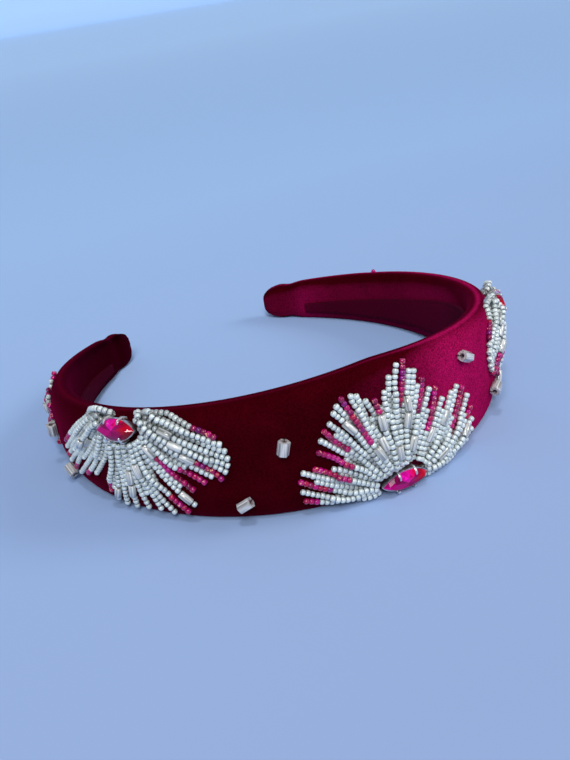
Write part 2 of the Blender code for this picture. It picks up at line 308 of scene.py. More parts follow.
def pale_paint():
    """A matt, faintly mottled finish for the floor, with painted light that makes it a little paler
    towards the back.
    """
    material, recipe, shader = finish("pale_floor", {"Roughness": 0.9, "Specular IOR Level": 0.1})
    place = recipe.object_place()
    mottle = recipe.noise(place, 6.0, 3.0)
    away = recipe.axes(place)[1]
    near = recipe.stretched(away + mottle * 0.06, -0.12, 0.36)
    near = recipe.blend(near, FLOOR_NEAR, FLOOR_MIDDLE)
    # painted light: the floor grows paler towards the back
    far = recipe.blend(recipe.stretched(away, 0.3, 3.0), near, FLOOR_FAR)
    recipe.feed(shader.inputs["Base Color"], far)
    recipe.feed(shader.inputs["Roughness"], 0.85 + mottle * 0.1)
    return material


def add_floor():
    """Floor and backdrop in one sheet."""
    profile = [(FLOOR_FRONT, 0.0)]
    for step in range(BACKDROP_STEPS + 1):
        angle = math.radians(90 * step / BACKDROP_STEPS)
        profile.append((FLOOR_BACK + BACKDROP_BEND * math.sin(angle),
                        BACKDROP_BEND * (1 - math.cos(angle))))
    profile.append((FLOOR_BACK + BACKDROP_BEND, BACKDROP_TOP))
    corners = [(side, y, z - FLOOR_DROP) for y, z in profile
               for side in (-FLOOR_HALF_WIDTH, FLOOR_HALF_WIDTH)]
    faces = [(2 * n, 2 * n + 1, 2 * n + 3, 2 * n + 2) for n in range(len(profile) - 1)]
    mesh = bpy.data.meshes.new("floor")
    mesh.from_pydata(corners, [], faces)
    mesh.shade_smooth()
    mesh.materials.append(pale_paint())
    floor = add_object("floor", mesh)
    floor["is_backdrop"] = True
    return floor


def turned_to(direction):
    """The matrix that turns a lamp to shine in a direction."""
    return direction.to_track_quat("-Z", "Y").to_matrix().to_4x4()


def add_panel(name, place, size, power, colour):
    """A square area light turned towards the headband."""
    lamp = bpy.data.lights.new(name, "AREA")
    lamp.shape = "SQUARE"
    lamp.size = size
    lamp.energy = power
    lamp.color = colour
    panel = add_object(name, lamp)
    panel.matrix_world = Matrix.Translation(Vector(place)) @ turned_to(LAMP_AIM - Vector(place))


def add_daylight(name, place, angle, strength, colour):
    """A sun lamp with a wide, soft disc."""
    lamp = bpy.data.lights.new(name, "SUN")
    lamp.angle = math.radians(angle)
    lamp.energy = strength
    lamp.color = colour
    add_object(name, lamp).matrix_world = turned_to(-Vector(place))


def add_sky(colour, strength):
    """Even light from all round."""
    world = bpy.data.worlds.new("sky")
    world.use_nodes = True
    background = world.node_tree.nodes["Background"]
    background.inputs["Color"].default_value = (*colour, 1.0)
    background.inputs["Strength"].default_value = strength
    bpy.context.scene.world = world


floor = add_floor()
add_daylight("daylight", (0.95, -0.40, 0.70), angle=26.0, strength=0.9, colour=(1.0, 0.985, 0.96))
add_daylight("key", (-0.30, -0.80, 0.80), angle=24.0, strength=1.7, colour=(1.0, 1.0, 1.0))
add_panel("overhead", (-0.10, -0.30, 0.80), size=0.09, power=1.3, colour=(1.0, 1.0, 1.0))
add_sky((0.84, 0.90, 1.0), strength=0.30)
bpy.context.scene.view_settings.view_transform = "Standard"
print("floor corners:", len(floor.data.vertices))

# %% [markdown]
# ## Places on the band
# Everything is sewn to the band, so everything needs the band's surface. A place on it is two
# numbers: `along`, the distance round the outer face from the middle of the crown, and `up`,
# the share of the band's width there. The line of the crown turns quickly and the arms turn
# slowly. The cross-section is a superellipse, which is an ellipse whose sides are pressed
# flatter, as a padded and covered strip has them. The functions below turn a place into a
# point, a direction along the band and a direction away from the velvet.

# %% Shape of the band
BAND_LENGTH = 0.421
TIP_TURN = math.radians(140.4)
ARM_STRAIGHTENING = 0.195
CROWN_WIDTH = 0.0385
TIP_WIDTH = 0.0132
WIDTH_TAPER = 1.22
CROWN_THICKNESS = 0.0093
TIP_THICKNESS = 0.0073
EDGE_ROUNDING = 0.75
OUTER_ROUNDING = 0.75
INNER_ROUNDING = 0.4
HALF_LENGTH = BAND_LENGTH / 2
CREST_STEPS = 48
NEARBY = 0.001
TILT = math.radians(0.5)
band_low, band_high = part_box("band")
CROWN_PLACE = Vector(((band_low.x + band_high.x) / 2, band_low.y, 0))


def between(table, place, column=1):
    """A column of a table, read between its rows."""
    return float(np.interp(place, [row[0] for row in table], [row[column] for row in table]))


def heading(along):
    """How far the band has turned from +X."""
    share = along / HALF_LENGTH
    return TIP_TURN * ((1 + ARM_STRAIGHTENING) * share - ARM_STRAIGHTENING * share ** 3)


@functools.lru_cache(maxsize=None)
def crest(along):
    """The outermost line of the band, followed from the crown in short steps."""
    step = along / CREST_STEPS
    angles = [heading((number + 0.5) * step) for number in range(CREST_STEPS)]
    run = Vector((sum(map(math.cos, angles)), sum(map(math.sin, angles)), 0))
    return CROWN_PLACE + run * step


def outward(along):
    """The direction away from the head."""
    return Vector((math.sin(heading(along)), -math.cos(heading(along)), 0))


def band_width(along):
    """The band narrows from the crown to its tips."""
    share = min(1.0, abs(along) / HALF_LENGTH)
    return TIP_WIDTH + (CROWN_WIDTH - TIP_WIDTH) * (1 - share ** WIDTH_TAPER)


def band_thickness(along):
    """The padding is thickest at the crown."""
    share = min(1.0, abs(along) / HALF_LENGTH)
    return TIP_THICKNESS + (CROWN_THICKNESS - TIP_THICKNESS) * (1 - share ** 2)


def signed_power(value, exponent):
    """A power that keeps the sign of its base."""
    return math.copysign(abs(value) ** exponent, value)


def section_point(along, angle, size=1.0):
    """A point round the pad: angle 0 is its upper edge and a right angle its outer face."""
    rounding = OUTER_ROUNDING if math.sin(angle) > 0 else INNER_ROUNDING
    rise = signed_power(math.cos(angle), EDGE_ROUNDING) * size
    depth = signed_power(math.sin(angle), rounding) * size
    middle = crest(along) - outward(along) * band_thickness(along) / 2
    level = Vector((0, 0, band_width(along) / 2 * (1 + rise)))
    return middle + level + outward(along) * depth * band_thickness(along) / 2


def face_angle(up):
    """The angle of the outer face at a share of the band's width."""
    return math.acos(max(-1.0, min(1.0, signed_power(2 * up - 1, 1 / EDGE_ROUNDING))))


def face_frame(along, up):
    """A point of the outer face, the direction along the band, and the way off the velvet."""
    angle = face_angle(up)
    tangent = section_point(along + NEARBY, angle) - section_point(along - NEARBY, angle)
    across = section_point(along, angle - TILT) - section_point(along, angle + TILT)
    normal = tangent.cross(across).normalized()
    return section_point(along, angle), tangent.normalized(), normal


print("crown in mm:", in_mm(face_frame(0.0, 0.5)[0], 2))

# %% [markdown]
# ## The chart of the beadwork
# A bead embroiderer works from a chart, and so does this script. Five motifs sit a hand's
# breadth apart. Each is a stone with strands fanned out on one side of it: upwards in a rising
# fan, downwards in a falling one. A row of a chart is one strand: the angle at which it leaves
# the stone, how far from the stone that is, the place where it arches over, the place where
# its tip is sewn down, the pink beads at its tip, and the places of its long bugle beads. The
# places are shares of the motif's reach, so that the small motifs of the arms use the same
# chart. Charting the strands one by one keeps the uneven look of handwork, which a formula
# would lose.

# %% Charts of motifs, strands and single beads
MOTIF_SPACING = 0.0750
STONE_LENGTH = 0.0145
STONE_WIDTH = 0.0066
STONE_HEIGHT = 0.0042
STONE_MARGIN = {"rising": 0.0012, "falling": 0.0003}
ROOT_CLEARANCE = 0.0010
GAP = 0.0003
MOTIFS = (
    # name, place in MOTIF_SPACING, reach, which way its first strands point, fan, strands used
    ("left_arm", -1.97, 0.0200, 1, "rising", 2),
    ("left", -1.00, 0.0330, -1, "falling", 1),
    ("crown", 0.03, 0.0300, -1, "rising", 1),
    ("right", 0.97, 0.0270, 1, "falling", 1),
    ("right_arm", 2.06, 0.0200, -1, "rising", 2),
)
STRANDS = {
    # root angle, times the stone's rim, arch along and out, tip along and out, pink, bugles
    "rising": (
        (-27, 1.00, 0.62, -0.06, 0.92, 0.02, 3, ()),
        (-21, 1.00, 0.58, -0.02, 0.94, 0.12, 0, ()),
        (-6, 1.00, 0.62, 0.07, 0.94, 0.22, 7, ()),
        (-3, 1.00, 0.60, 0.12, 0.90, 0.30, 0, ()),
        (6, 1.00, 0.53, 0.16, 0.80, 0.30, 8, ()),
        (28, 1.00, 0.43, 0.15, 0.64, 0.27, 0, ()),
        (38, 1.00, 0.46, 0.25, 0.75, 0.45, 8, ()),
        (43, 1.00, 0.45, 0.32, 0.72, 0.54, 0, ()),
        (49, 1.00, 0.43, 0.35, 0.67, 0.62, 7, ()),
        (52, 1.00, 0.41, 0.41, 0.62, 0.67, 0, ()),
        (58, 1.00, 0.38, 0.47, 0.58, 0.74, 0, (0.72,)),
        (60, 1.00, 0.35, 0.50, 0.53, 0.79, 0, ()),
        (63, 1.00, 0.33, 0.49, 0.48, 0.83, 11, (0.24,)),
        (65, 1.00, 0.28, 0.54, 0.40, 0.83, 0, ()),
        (67, 1.00, 0.23, 0.53, 0.35, 0.81, 0, (0.30,)),
        (71, 1.00, 0.19, 0.50, 0.28, 0.76, 0, ()),
        (72, 1.00, 0.16, 0.50, 0.19, 0.74, 6, (0.60,)),
        (75, 1.00, 0.11, 0.51, 0.09, 0.77, 0, ()),
        (76, 1.00, 0.08, 0.55, 0.02, 0.86, 0, (0.16,)),
        (78, 1.00, 0.03, 0.58, -0.08, 0.93, 0, ()),
        (80, 1.00, -0.05, 0.57, -0.16, 0.94, 9, ()),
        (84, 1.00, -0.07, 0.54, -0.20, 0.87, 0, (0.62, 0.44)),
        (88, 1.00, -0.14, 0.50, -0.25, 0.86, 0, ()),
        (93, 1.00, -0.20, 0.48, -0.31, 0.77, 7, (0.22,)),
        (108, 1.00, -0.26, 0.42, -0.38, 0.66, 0, ()),
        (127, 1.00, -0.32, 0.36, -0.46, 0.64, 9, ()),
        (145, 1.00, -0.40, 0.30, -0.53, 0.53, 0, (0.36,)),
        (158, 1.00, -0.48, 0.24, -0.66, 0.54, 0, (0.55,)),
        (166, 1.00, -0.55, 0.21, -0.74, 0.57, 0, ()),
        (172, 1.00, -0.60, 0.17, -0.82, 0.53, 9, ()),
        (178, 1.00, -0.66, 0.11, -0.90, 0.42, 0, (0.20,)),
        (184, 1.00, -0.68, 0.05, -0.94, 0.28, 3, ()),
        (190, 1.00, -0.68, -0.01, -0.97, 0.15, 0, (0.70,)),
        (198, 1.00, -0.66, -0.06, -0.98, 0.04, 0, ()),
        (208, 1.00, -0.60, -0.10, -0.92, -0.04, 0, ()),
    ),
    "falling": (
        (-72, 1.00, 0.46, -0.06, 0.93, 0.32, 4, ()),
        (-58, 1.00, 0.48, 0.00, 0.97, 0.42, 0, ()),
        (-45, 1.00, 0.49, 0.07, 0.98, 0.54, 2, ()),
        (-33, 1.00, 0.48, 0.16, 0.96, 0.62, 0, (0.42,)),
        (-18, 1.00, 0.46, 0.23, 0.90, 0.70, 3, (0.30,)),
        (8, 1.00, 0.42, 0.28, 0.80, 0.72, 0, ()),
        (26, 1.00, 0.34, 0.32, 0.62, 0.66, 2, ()),
        (46, 1.00, 0.25, 0.32, 0.46, 0.60, 0, ()),
        (62, 1.00, 0.18, 0.42, 0.32, 0.76, 3, ()),
        (73, 1.00, 0.14, 0.46, 0.27, 0.87, 0, (0.80,)),
        (84, 1.00, 0.08, 0.45, 0.17, 0.90, 0, ()),
        (98, 1.00, -0.01, 0.44, 0.05, 0.90, 0, (0.42, 0.66)),
        (107, 1.00, -0.07, 0.45, -0.10, 0.88, 0, ()),
        (118, 1.00, -0.13, 0.44, -0.23, 0.87, 0, (0.30,)),
        (131, 1.00, -0.18, 0.45, -0.35, 0.90, 0, ()),
        (138, 1.00, -0.24, 0.44, -0.50, 0.86, 5, ()),
        (151, 1.00, -0.30, 0.42, -0.58, 0.77, 0, (0.86,)),
        (157, 1.00, -0.35, 0.36, -0.60, 0.60, 11, (0.16,)),
        (167, 1.00, -0.43, 0.28, -0.72, 0.54, 6, ()),
        (175, 1.00, -0.46, 0.25, -0.80, 0.48, 0, ()),
        (187, 1.00, -0.47, 0.19, -0.87, 0.50, 7, (0.50,)),
        (204, 1.00, -0.46, 0.13, -0.91, 0.45, 0, ()),
        (218, 1.09, -0.45, 0.08, -0.94, 0.39, 0, (0.40,)),
        (226, 1.14, -0.45, 0.03, -0.95, 0.32, 0, (0.30,)),
        (230, 1.20, -0.46, -0.02, -0.94, 0.25, 0, ()),
        (226, 1.45, -0.49, -0.06, -0.91, 0.18, 0, ()),
        (220, 1.75, -0.53, -0.08, -0.87, 0.12, 5, ()),
    ),
}
TUBE_BEADS = (
    # place in MOTIF_SPACING, up, turn of the hole away from the band's length in degrees
    (-1.62, 0.55, 70.0),
    (-1.47, 0.16, -35.0),
    (-0.55, 0.20, 30.0),
    (-0.385, 0.63, 72.0),
    (0.395, 0.81, -25.0),
    (0.66, 0.30, 10.0),
    (1.47, 0.20, 35.0),
    (1.64, 0.58, -60.0),
)
EDGE_MARGIN = 0.03
TOP_MARGIN = 0.015
FILLING_ARCH = 0.5
FILLING_EVERY = 2
FILLING_LENGTHS = (0.30, 0.62, 0.44, 0.20, 0.70, 0.36, 0.54)


class Motif:
    """One stone with its fan: where it sits and how its own measures turn into places."""

    def __init__(self, name, place, reach, facing, fan, every):
        self.name = name
        self.middle = place * MOTIF_SPACING
        self.reach = reach
        self.facing = facing
        self.every = every
        self.fan = fan
        self.width = band_width(self.middle)
        margin = STONE_WIDTH / 2 + STONE_MARGIN[fan]
        self.level = margin if fan == "rising" else self.width - margin
        self.depth = self.width - self.level if fan == "rising" else self.level
        self.direction = 1 if fan == "rising" else -1

    def place(self, along, out):
        """Measures from the stone, in metres, as a place on the band."""
        up = (self.level + self.direction * out) / self.width
        return self.middle + self.facing * along, min(1 - TOP_MARGIN, max(EDGE_MARGIN, up))

    def strands(self):
        """Root, arch and tip of every strand in metres from the stone, with its beads."""
        rows = STRANDS[self.fan][::self.every]
        for angle, times, arch_along, arch_out, tip_along, tip_out, pink, bugles in rows:
            root = (times * (STONE_LENGTH / 2 + ROOT_CLEARANCE) * math.cos(math.radians(angle)),
                    times * (STONE_WIDTH / 2 + ROOT_CLEARANCE) * math.sin(math.radians(angle)))
            arch = (arch_along * self.reach, arch_out * self.depth)
            tip = (tip_along * self.reach, tip_out * self.depth)
            yield root, arch, tip, pink, bugles

    def filling(self):
        """Plain shorter strands between the charted ones, which fill the fan from below."""
        charted = list(self.strands())
        for number, (one, other) in enumerate(zip(charted, charted[1:])):
            length = FILLING_LENGTHS[number // FILLING_EVERY % len(FILLING_LENGTHS)]
            root, arch, tip = (tuple((a + b) / 2 for a, b in zip(first, second))
                               for first, second in zip(one[:3], other[:3]))
            short = tuple(a + length * (b - a) for a, b in zip(arch, tip))
            halfway = tuple((a + b) / 2 + FILLING_ARCH * (c - (a + b) / 2)
                            for a, b, c in zip(root, short, arch))
            yield root, halfway, short, 0, ()

    def wings(self):
        """The solids that the fan's beads and threads stand in for."""
        return ["fan_" + self.name + "_" + wing for wing in ("first", "middle", "last")]


motifs = [Motif(*row) for row in MOTIFS]
print("strands charted:", {motif.name: len(list(motif.strands())) for motif in motifs})

# %% [markdown]
# ## The padded band
# The band is a strip of foam in a velvet cover. The cover is glued down on the head side and
# sewn through wherever beads are fixed, and it swells a little everywhere else. That is what a
# cloth simulation does well: the mesh is pinned at the glue and at the stitches, and air
# pressure pushes the rest out. A grid of quads, about 2 mm each, is lofted from the section,
# simulated for 20 frames and then held to a fraction of a millimetre, so that the beads still
# lie on it. The covers of the two tips are gathered, so their last rings are pleated and close
# in a pucker. The mesh also carries a value of painted light and shade for the velvet: high
# where it is painted lit, low where it is painted shaded. Along the upper edge runs a thin
# line of painted highlight, with a band of painted shade beside it.

# %% Rings of the band and its gathered tips
BODY_RINGS = 196
RING_POINTS = 48
TIP_LENGTH = 0.011
GATHER_REACH = 1.7
GATHER_FOLDS = 11
GATHER_DEPTH = 0.085
GATHER_FADE = 1.3
PLEAT_WAVES = (
    # size, waves round the pad, turn along the band in radians a metre, start in radians
    (0.35, 3, 40, 0.0),
    (0.25, 5, 0, -1.3),
)
PUCKER_DEPTH = 0.0004
FACE_TURN = 2.6
# painted highlight along the upper edge, and painted shade in a band beside it
EDGE_LIGHT = 0.6
EDGE_LIGHT_WIDTH = math.radians(4)
CREST_SHADE_DEPTH = 0.55
CREST_SHADE = math.radians(34)
CREST_SHIFT = math.radians(12)
PAINTED_LIGHT_TABLE = (
    # place along the band in metres, painted light and shade on the outer face and on the head side
    (-0.200, 0.00, -0.80),
    (-0.090, -0.05, -0.95),
    (-0.020, 0.00, -0.60),
    (0.006, 0.14, -0.40),
    (0.026, 0.76, -0.20),
    (0.040, 0.64, -0.30),
    (0.055, 0.46, -0.30),
    (0.080, 0.50, 0.00),
    (0.105, 0.50, 0.34),
    (0.120, 0.50, 0.28),
    (0.150, 0.40, 0.20),
    (0.175, 0.35, 0.18),
    (0.190, 0.32, 0.34),
    (0.200, 0.30, 0.12),
)
TIP_SHAPE = (
    # distance from the end in TIP_LENGTH, share of the full section
    (0.00, 0.30),
    (0.03, 0.46),
    (0.08, 0.60),
    (0.16, 0.74),
    (0.26, 0.84),
    (0.40, 0.92),
    (0.55, 0.97),
    (0.70, 1.00),
    (0.85, 1.00),
    (1.00, 0.95),
    (1.15, 0.915),
    (1.30, 0.93),
    (1.45, 0.97),
    (1.70, 1.00),
)


def ring_places():
    """Places of the rings: close together at the tips."""
    tips = [HALF_LENGTH - row[0] * TIP_LENGTH for row in TIP_SHAPE]
    body = np.linspace(-tips[-1], tips[-1], BODY_RINGS)[1:-1]
    return [-place for place in tips] + [float(place) for place in body] + tips[::-1]


def band_ring(along):
    """One ring of points round the pad; near a tip it is drawn into pleats."""
    from_end = (HALF_LENGTH - abs(along)) / TIP_LENGTH
    size = between(TIP_SHAPE, from_end)
    gather = GATHER_DEPTH * max(0.0, 1 - from_end / GATHER_REACH) ** GATHER_FADE
    ring = []
    for number in range(RING_POINTS):
        angle = 2 * math.pi * number / RING_POINTS
        uneven = sum(height * math.sin(waves * angle + turn * along + start)
                     for height, waves, turn, start in PLEAT_WAVES)
        pleat = 0.5 + 0.5 * math.cos(GATHER_FOLDS * angle + uneven)
        ring.append(section_point(along, angle, size * (1 - gather * pleat)))
    return ring


def turn_outwards(mesh):
    """Point every face of a closed mesh away from its inside."""
    shape = bmesh.new()
    shape.from_mesh(mesh)
    bmesh.ops.recalc_face_normals(shape, faces=shape.faces)
    shape.to_mesh(mesh)
    shape.free()


def band_mesh():
    """The closed band, ring by ring, and the places of its rings."""
    places = ring_places()
    rings = [band_ring(along) for along in places]
    corners = [point for ring in rings for point in ring]
    faces = []
    for row in range(len(rings) - 1):
        for side in range(RING_POINTS):
            beside = (side + 1) % RING_POINTS
            faces.append((row * RING_POINTS + side, (row + 1) * RING_POINTS + side,
                          (row + 1) * RING_POINTS + beside, row * RING_POINTS + beside))
    for row, next_row, order in ((0, 1, 1), (len(rings) - 1, len(rings) - 2, -1)):
        middle = sum(rings[row], Vector()) / RING_POINTS
        inward = (sum(rings[next_row], Vector()) / RING_POINTS - middle).normalized()
        corners.append(middle + inward * PUCKER_DEPTH)
        for side in range(RING_POINTS):
            pair = (row * RING_POINTS + side, row * RING_POINTS + (side + 1) % RING_POINTS)
            faces.append((len(corners) - 1, *pair[::order]))
    mesh = bpy.data.meshes.new("velvet_band")
    mesh.from_pydata(corners, [], faces)
    turn_outwards(mesh)
    mesh.shade_smooth()
    return mesh, places


def painted_light_value(along, angle):
    """Painted light and shade: 1 painted lit, 0 neutral, -1 painted shaded, with a painted
    highlight on the upper edge and painted shade beside it.
    """
    outer = max(0.0, min(1.0, 1.0 + FACE_TURN * math.sin(angle)))
    from_edge = math.remainder(angle, 2 * math.pi)
    edge = math.exp(-(from_edge / EDGE_LIGHT_WIDTH) ** 2)
    crest_shade = math.exp(-((from_edge + CREST_SHIFT) / CREST_SHADE) ** 2)
    painted_lit = outer * between(PAINTED_LIGHT_TABLE, along) + (1 - outer) * between(PAINTED_LIGHT_TABLE, along, 2)
    return painted_lit + EDGE_LIGHT * edge - CREST_SHADE_DEPTH * crest_shade


cover_mesh, cover_places = band_mesh()
# painted light and shade, one value a point of the cover
nap = cover_mesh.attributes.new("nap", "FLOAT", "POINT")
painted_lights = [painted_light_value(along, 2 * math.pi * number / RING_POINTS)
        for along in cover_places for number in range(RING_POINTS)]
nap.data.foreach_set("value", painted_lights + [0.0, 0.0])  # the two puckers close the tips
velvet_band = add_object("velvet_band", cover_mesh)
print("cover points:", len(cover_mesh.vertices), "rings:", len(cover_places))

# %% [markdown]
# Where is the cover held? The head side is glued, so its points are pinned. A stone, the tip
# of a strand and a tube bead are each sewn through the foam, and the thread pulls the velvet
# in around it. A vertex group holds the pins as weights from 0 to 1, with a soft edge of a
# few millimetres so that no crease forms.

# %% Pins of glue and thread
PIN_SOFTNESS = 0.0030
THREAD_PULL = 0.0002
STONE_STITCHES = (-0.4, 0, 0.4)
GLUE_START = 0.15
GLUE_RISE = 2.5
TIP_HELD = 0.020
TIP_SOFTNESS = 0.010


def sewn_points():
    """Every point of the outer face where a thread goes through the band."""
    places = [(place * MOTIF_SPACING, up) for place, up, _ in TUBE_BEADS]
    for motif in motifs:
        places += [motif.place(share * STONE_LENGTH, 0) for share in STONE_STITCHES]
        places += [motif.place(*tip) for _, _, tip, _, _ in motif.strands()]
    return np.array([section_point(along, face_angle(up)) for along, up in places])


def coordinates(mesh):
    """The corners of a mesh as an array."""
    flat = np.zeros(3 * len(mesh.vertices))
    mesh.vertices.foreach_get("co", flat)
    return flat.reshape(-1, 3)


def hold_of_thread(points, stitches):
    """1 at a stitch, falling softly to 0."""
    distance = np.full(len(points), 1.0)
    for stitch in stitches:
        distance = np.minimum(distance, np.linalg.norm(points - stitch, axis=1))
    return np.exp(-(distance / PIN_SOFTNESS) ** 2)


cover_rest = coordinates(cover_mesh)
stitches = sewn_points()
thread_hold = hold_of_thread(cover_rest, stitches)
ring_angle = np.array([2 * math.pi * (index % RING_POINTS) / RING_POINTS
                       for index in range(len(cover_rest))])
row_place = np.append(np.repeat(cover_places, RING_POINTS), [-HALF_LENGTH, HALF_LENGTH])
glued = np.clip(GLUE_START - GLUE_RISE * np.sin(ring_angle), 0, 1)
gathered = np.clip((np.abs(row_place) - HALF_LENGTH + TIP_HELD) / TIP_SOFTNESS, 0, 1)
pinned = np.clip(np.maximum.reduce([glued, gathered, thread_hold]), 0, 1)
pins = velvet_band.vertex_groups.new(name="pins")
for index, weight in enumerate(pinned):
    pins.add([index], float(weight), "REPLACE")
print("stitches through the velvet:", len(stitches), "mean hold:", round(float(pinned.mean()), 2))

# %% [markdown]
# Now the swelling. Gravity is off, because foam fills the cover. After 20 frames the points
# have moved out where nothing holds them. The move is kept only along the way off the foam and
# capped, then each stitch pulls its own small dimple. Last comes one level of subdivision,
# which rounds the pleats.

# %% Swell the cover by simulation
SWELL_FRAMES = 20
SWELL_CAP = 0.00045
COVER_CLOTH = {
    "quality": 5, "mass": 0.1, "tension_stiffness": 20, "compression_stiffness": 20,
    "shear_stiffness": 8, "bending_stiffness": 2, "vertex_group_mass": "pins",
    "use_pressure": True, "uniform_pressure_force": 900.0,
}


def swell(piece):
    """Blow the pinned cover up and return how far each point moves."""
    cloth = piece.modifiers.new("cover", "CLOTH")
    for name, value in COVER_CLOTH.items():
        setattr(cloth.settings, name, value)
    cloth.settings.effector_weights.gravity = 0
    cloth.point_cache.frame_start = 1
    cloth.point_cache.frame_end = SWELL_FRAMES
    for moment in range(1, SWELL_FRAMES + 1):
        bpy.context.scene.frame_set(moment)
    seen = piece.evaluated_get(bpy.context.evaluated_depsgraph_get())
    moved = coordinates(seen.to_mesh()) - cover_rest
    seen.to_mesh_clear()
    piece.modifiers.remove(cloth)
    bpy.context.scene.frame_set(1)
    return moved


def corner_normals(mesh):
    """The way out at every corner."""
    flat = np.zeros(3 * len(mesh.vertices))
    mesh.vertex_normals.foreach_get("vector", flat)
    return flat.reshape(-1, 3)


out_of_foam = corner_normals(cover_mesh)
swelling = np.zeros(len(cover_rest))
swelling = np.einsum("ij,ij->i", swell(velvet_band), out_of_foam)
print("free swelling, least and most, in mm:", in_mm([swelling.min(), swelling.max()], 2))
swelling = np.clip(swelling, 0, SWELL_CAP) - THREAD_PULL * np.clip(thread_hold, 0, 1) ** 2
cover_mesh.vertices.foreach_set("co", (cover_rest + out_of_foam * swelling[:, None]).ravel())
cover_mesh.update()
print("kept swelling, least and most, in mm:", in_mm([swelling.min(), swelling.max()], 2))

# %% Subdivide the cover once
velvet_band.vertex_groups.clear()


def made_plain(piece):
    """Replace a piece's mesh by what its modifiers make of it."""
    seen = piece.evaluated_get(bpy.context.evaluated_depsgraph_get())
    mesh = bpy.data.meshes.new_from_object(seen)
    piece.modifiers.clear()
    piece.data = mesh
    mesh.name = piece.name
    return mesh


rounding = velvet_band.modifiers.new("rounding", "SUBSURF")
rounding.levels = 1
rounding.render_levels = 1
cover_mesh = made_plain(velvet_band)
cover_mesh.shade_smooth()
print("cover faces:", len(cover_mesh.polygons))

# %% [markdown]
# ## Velvet
# Velvet is a forest of short fibres. Looked at along the fibres it is deep and dark, and at a
# glancing angle their sides catch the light, which is why it glows along edges. The sheen of
# the Principled shader does that part. Three scales of noise do the rest: single tufts well
# under a millimetre, patches where the pile was stroked another way, and slow changes of
# depth. The value on the mesh is painted light and shade: where it is high, the colour goes
# towards a painted lit magenta, and where it is low, towards a painted shade. A
# fine bump breaks up the highlights. The noise reads Object coordinates, so nothing slides.

# %% Velvet material
VELVET_SHADE = (0.006, 0.0001, 0.0008, 1.0)
VELVET_DEEP = (0.016, 0.0002, 0.0010, 1.0)
VELVET_LIT = (0.086, 0.0008, 0.0060, 1.0)
VELVET_PAINTED_LIT = (0.640, 0.0080, 0.1380, 1.0)
VELVET_SHEEN = (1.0, 0.020, 0.24, 1.0)
TUFTS = 2400.0
STROKES = 75.0
DEPTHS = 16.0


def velvet():
    """Burgundy silk velvet."""
    material, recipe, shader = finish("velvet", {
        "Sheen Weight": 0.14, "Sheen Roughness": 0.36, "Sheen Tint": VELVET_SHEEN,
        "Specular IOR Level": 0.0, "Roughness": 0.95})
    place = recipe.object_place()
    tuft = recipe.noise(place, TUFTS, 2.0, 0.6)
    stroke = recipe.noise(place, STROKES, 3.0, 0.55, 0.6)
    depth = recipe.noise(place, DEPTHS, 2.0)
    speckle = recipe.stretched(tuft, 0.34, 0.68)
    patch = recipe.stretched(stroke, 0.36, 0.66)
    share = recipe.clamped(0.10 + speckle * 0.42 + patch * 0.20 + depth * 0.34 - 0.12)
    # painted light and shade: the value on the mesh moves the colour towards a painted lit magenta
    # or towards a painted shade
    painted_lit = recipe.attribute("nap") + (depth - 0.5) * 0.2
    catch = 0.28 + speckle * 0.88 + patch * 0.16
    painted_lit_share = recipe.clamped(recipe.maths("MAXIMUM", painted_lit, 0.0) * catch)
    pile = recipe.blend(share, VELVET_DEEP, VELVET_LIT)
    shaded = recipe.blend(recipe.clamped(painted_lit * -0.9), pile, VELVET_SHADE)
    recipe.feed(shader.inputs["Base Color"], recipe.blend(painted_lit_share, shaded, VELVET_PAINTED_LIT))
    recipe.feed(shader.inputs["Roughness"], 0.98 - speckle * 0.16)
    rough = recipe.bump(tuft, 0.00022, 0.8, recipe.bump(stroke, 0.0005, 0.35))
    recipe.feed(shader.inputs["Normal"], rough)
    return material


def keep(piece, slot, *nodes):
    """Hang a finished piece on the frame in place of its solids."""
    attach(piece, "root")
    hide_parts(*nodes)
    return piece


velvet_finish = velvet()
cover_mesh.materials.clear()
cover_mesh.materials.append(velvet_finish)
keep(velvet_band, "velvet", "band")
print("velvet nodes:", len(velvet_finish.node_tree.nodes))

# %% [markdown]
# ## The lining on the head side
# A strip of thinner, duller velvet hides the glued edges of the cover. It is wide behind the
# crown and only a ribbon towards the tips. Rows of points round a flat section, rounded off at
# both edges, give it a face, a back and a rim at once. Its finish has a fine rib across the
# band, which comes from a sine of the UV map's U, because the rib has to follow the bend of the
# band. It takes painted light and shade from the same table as the cover's head side.

# %% Lining strip
LINING_THICKNESS = 0.0008
LINING_ROWS = 220
LINING_COLUMNS = 12
END_ROUNDING = 0.0015
EDGE_STEEPNESS = 8
END_TUCK = 0.25
RIM_SHARE = 0.45
LINING_DEEP = (0.012, 0.0002, 0.002, 1.0)
LINING_PALE = (0.056, 0.0004, 0.009, 1.0)
RIB_PITCH = 0.0009
SHARP_RIM = math.radians(60)
LINING_EDGES = (
    # share of the half length, lower edge and upper edge as shares of the band's width
    (0.00, 0.15, 0.85),
    (0.36, 0.15, 0.84),
    (0.50, 0.15, 0.74),
    (0.62, 0.16, 0.62),
    (0.76, 0.16, 0.52),
    (0.90, 0.20, 0.44),
)
LINING_END = LINING_EDGES[-1][0] * HALF_LENGTH


def lining_point(along, across, lift):
    """A point of the lining: across runs from 0 at its lower edge to 1 at its upper edge."""
    share = abs(along) / HALF_LENGTH
    lower, upper = between(LINING_EDGES, share), between(LINING_EDGES, share, 2)
    up = lower + across * (upper - lower)
    return section_point(along, -face_angle(up)) - outward(along) * lift


def ring_faces(rings, around, closed=False):
    """Quads between rings of points, and from the last ring to the first where it is closed."""
    faces = []
    for row in range(rings if closed else rings - 1):
        ahead = (row + 1) % rings
        for side in range(around):
            beside = (side + 1) % around
            faces.append((row * around + side, row * around + beside,
                          ahead * around + beside, ahead * around + side))
    return faces


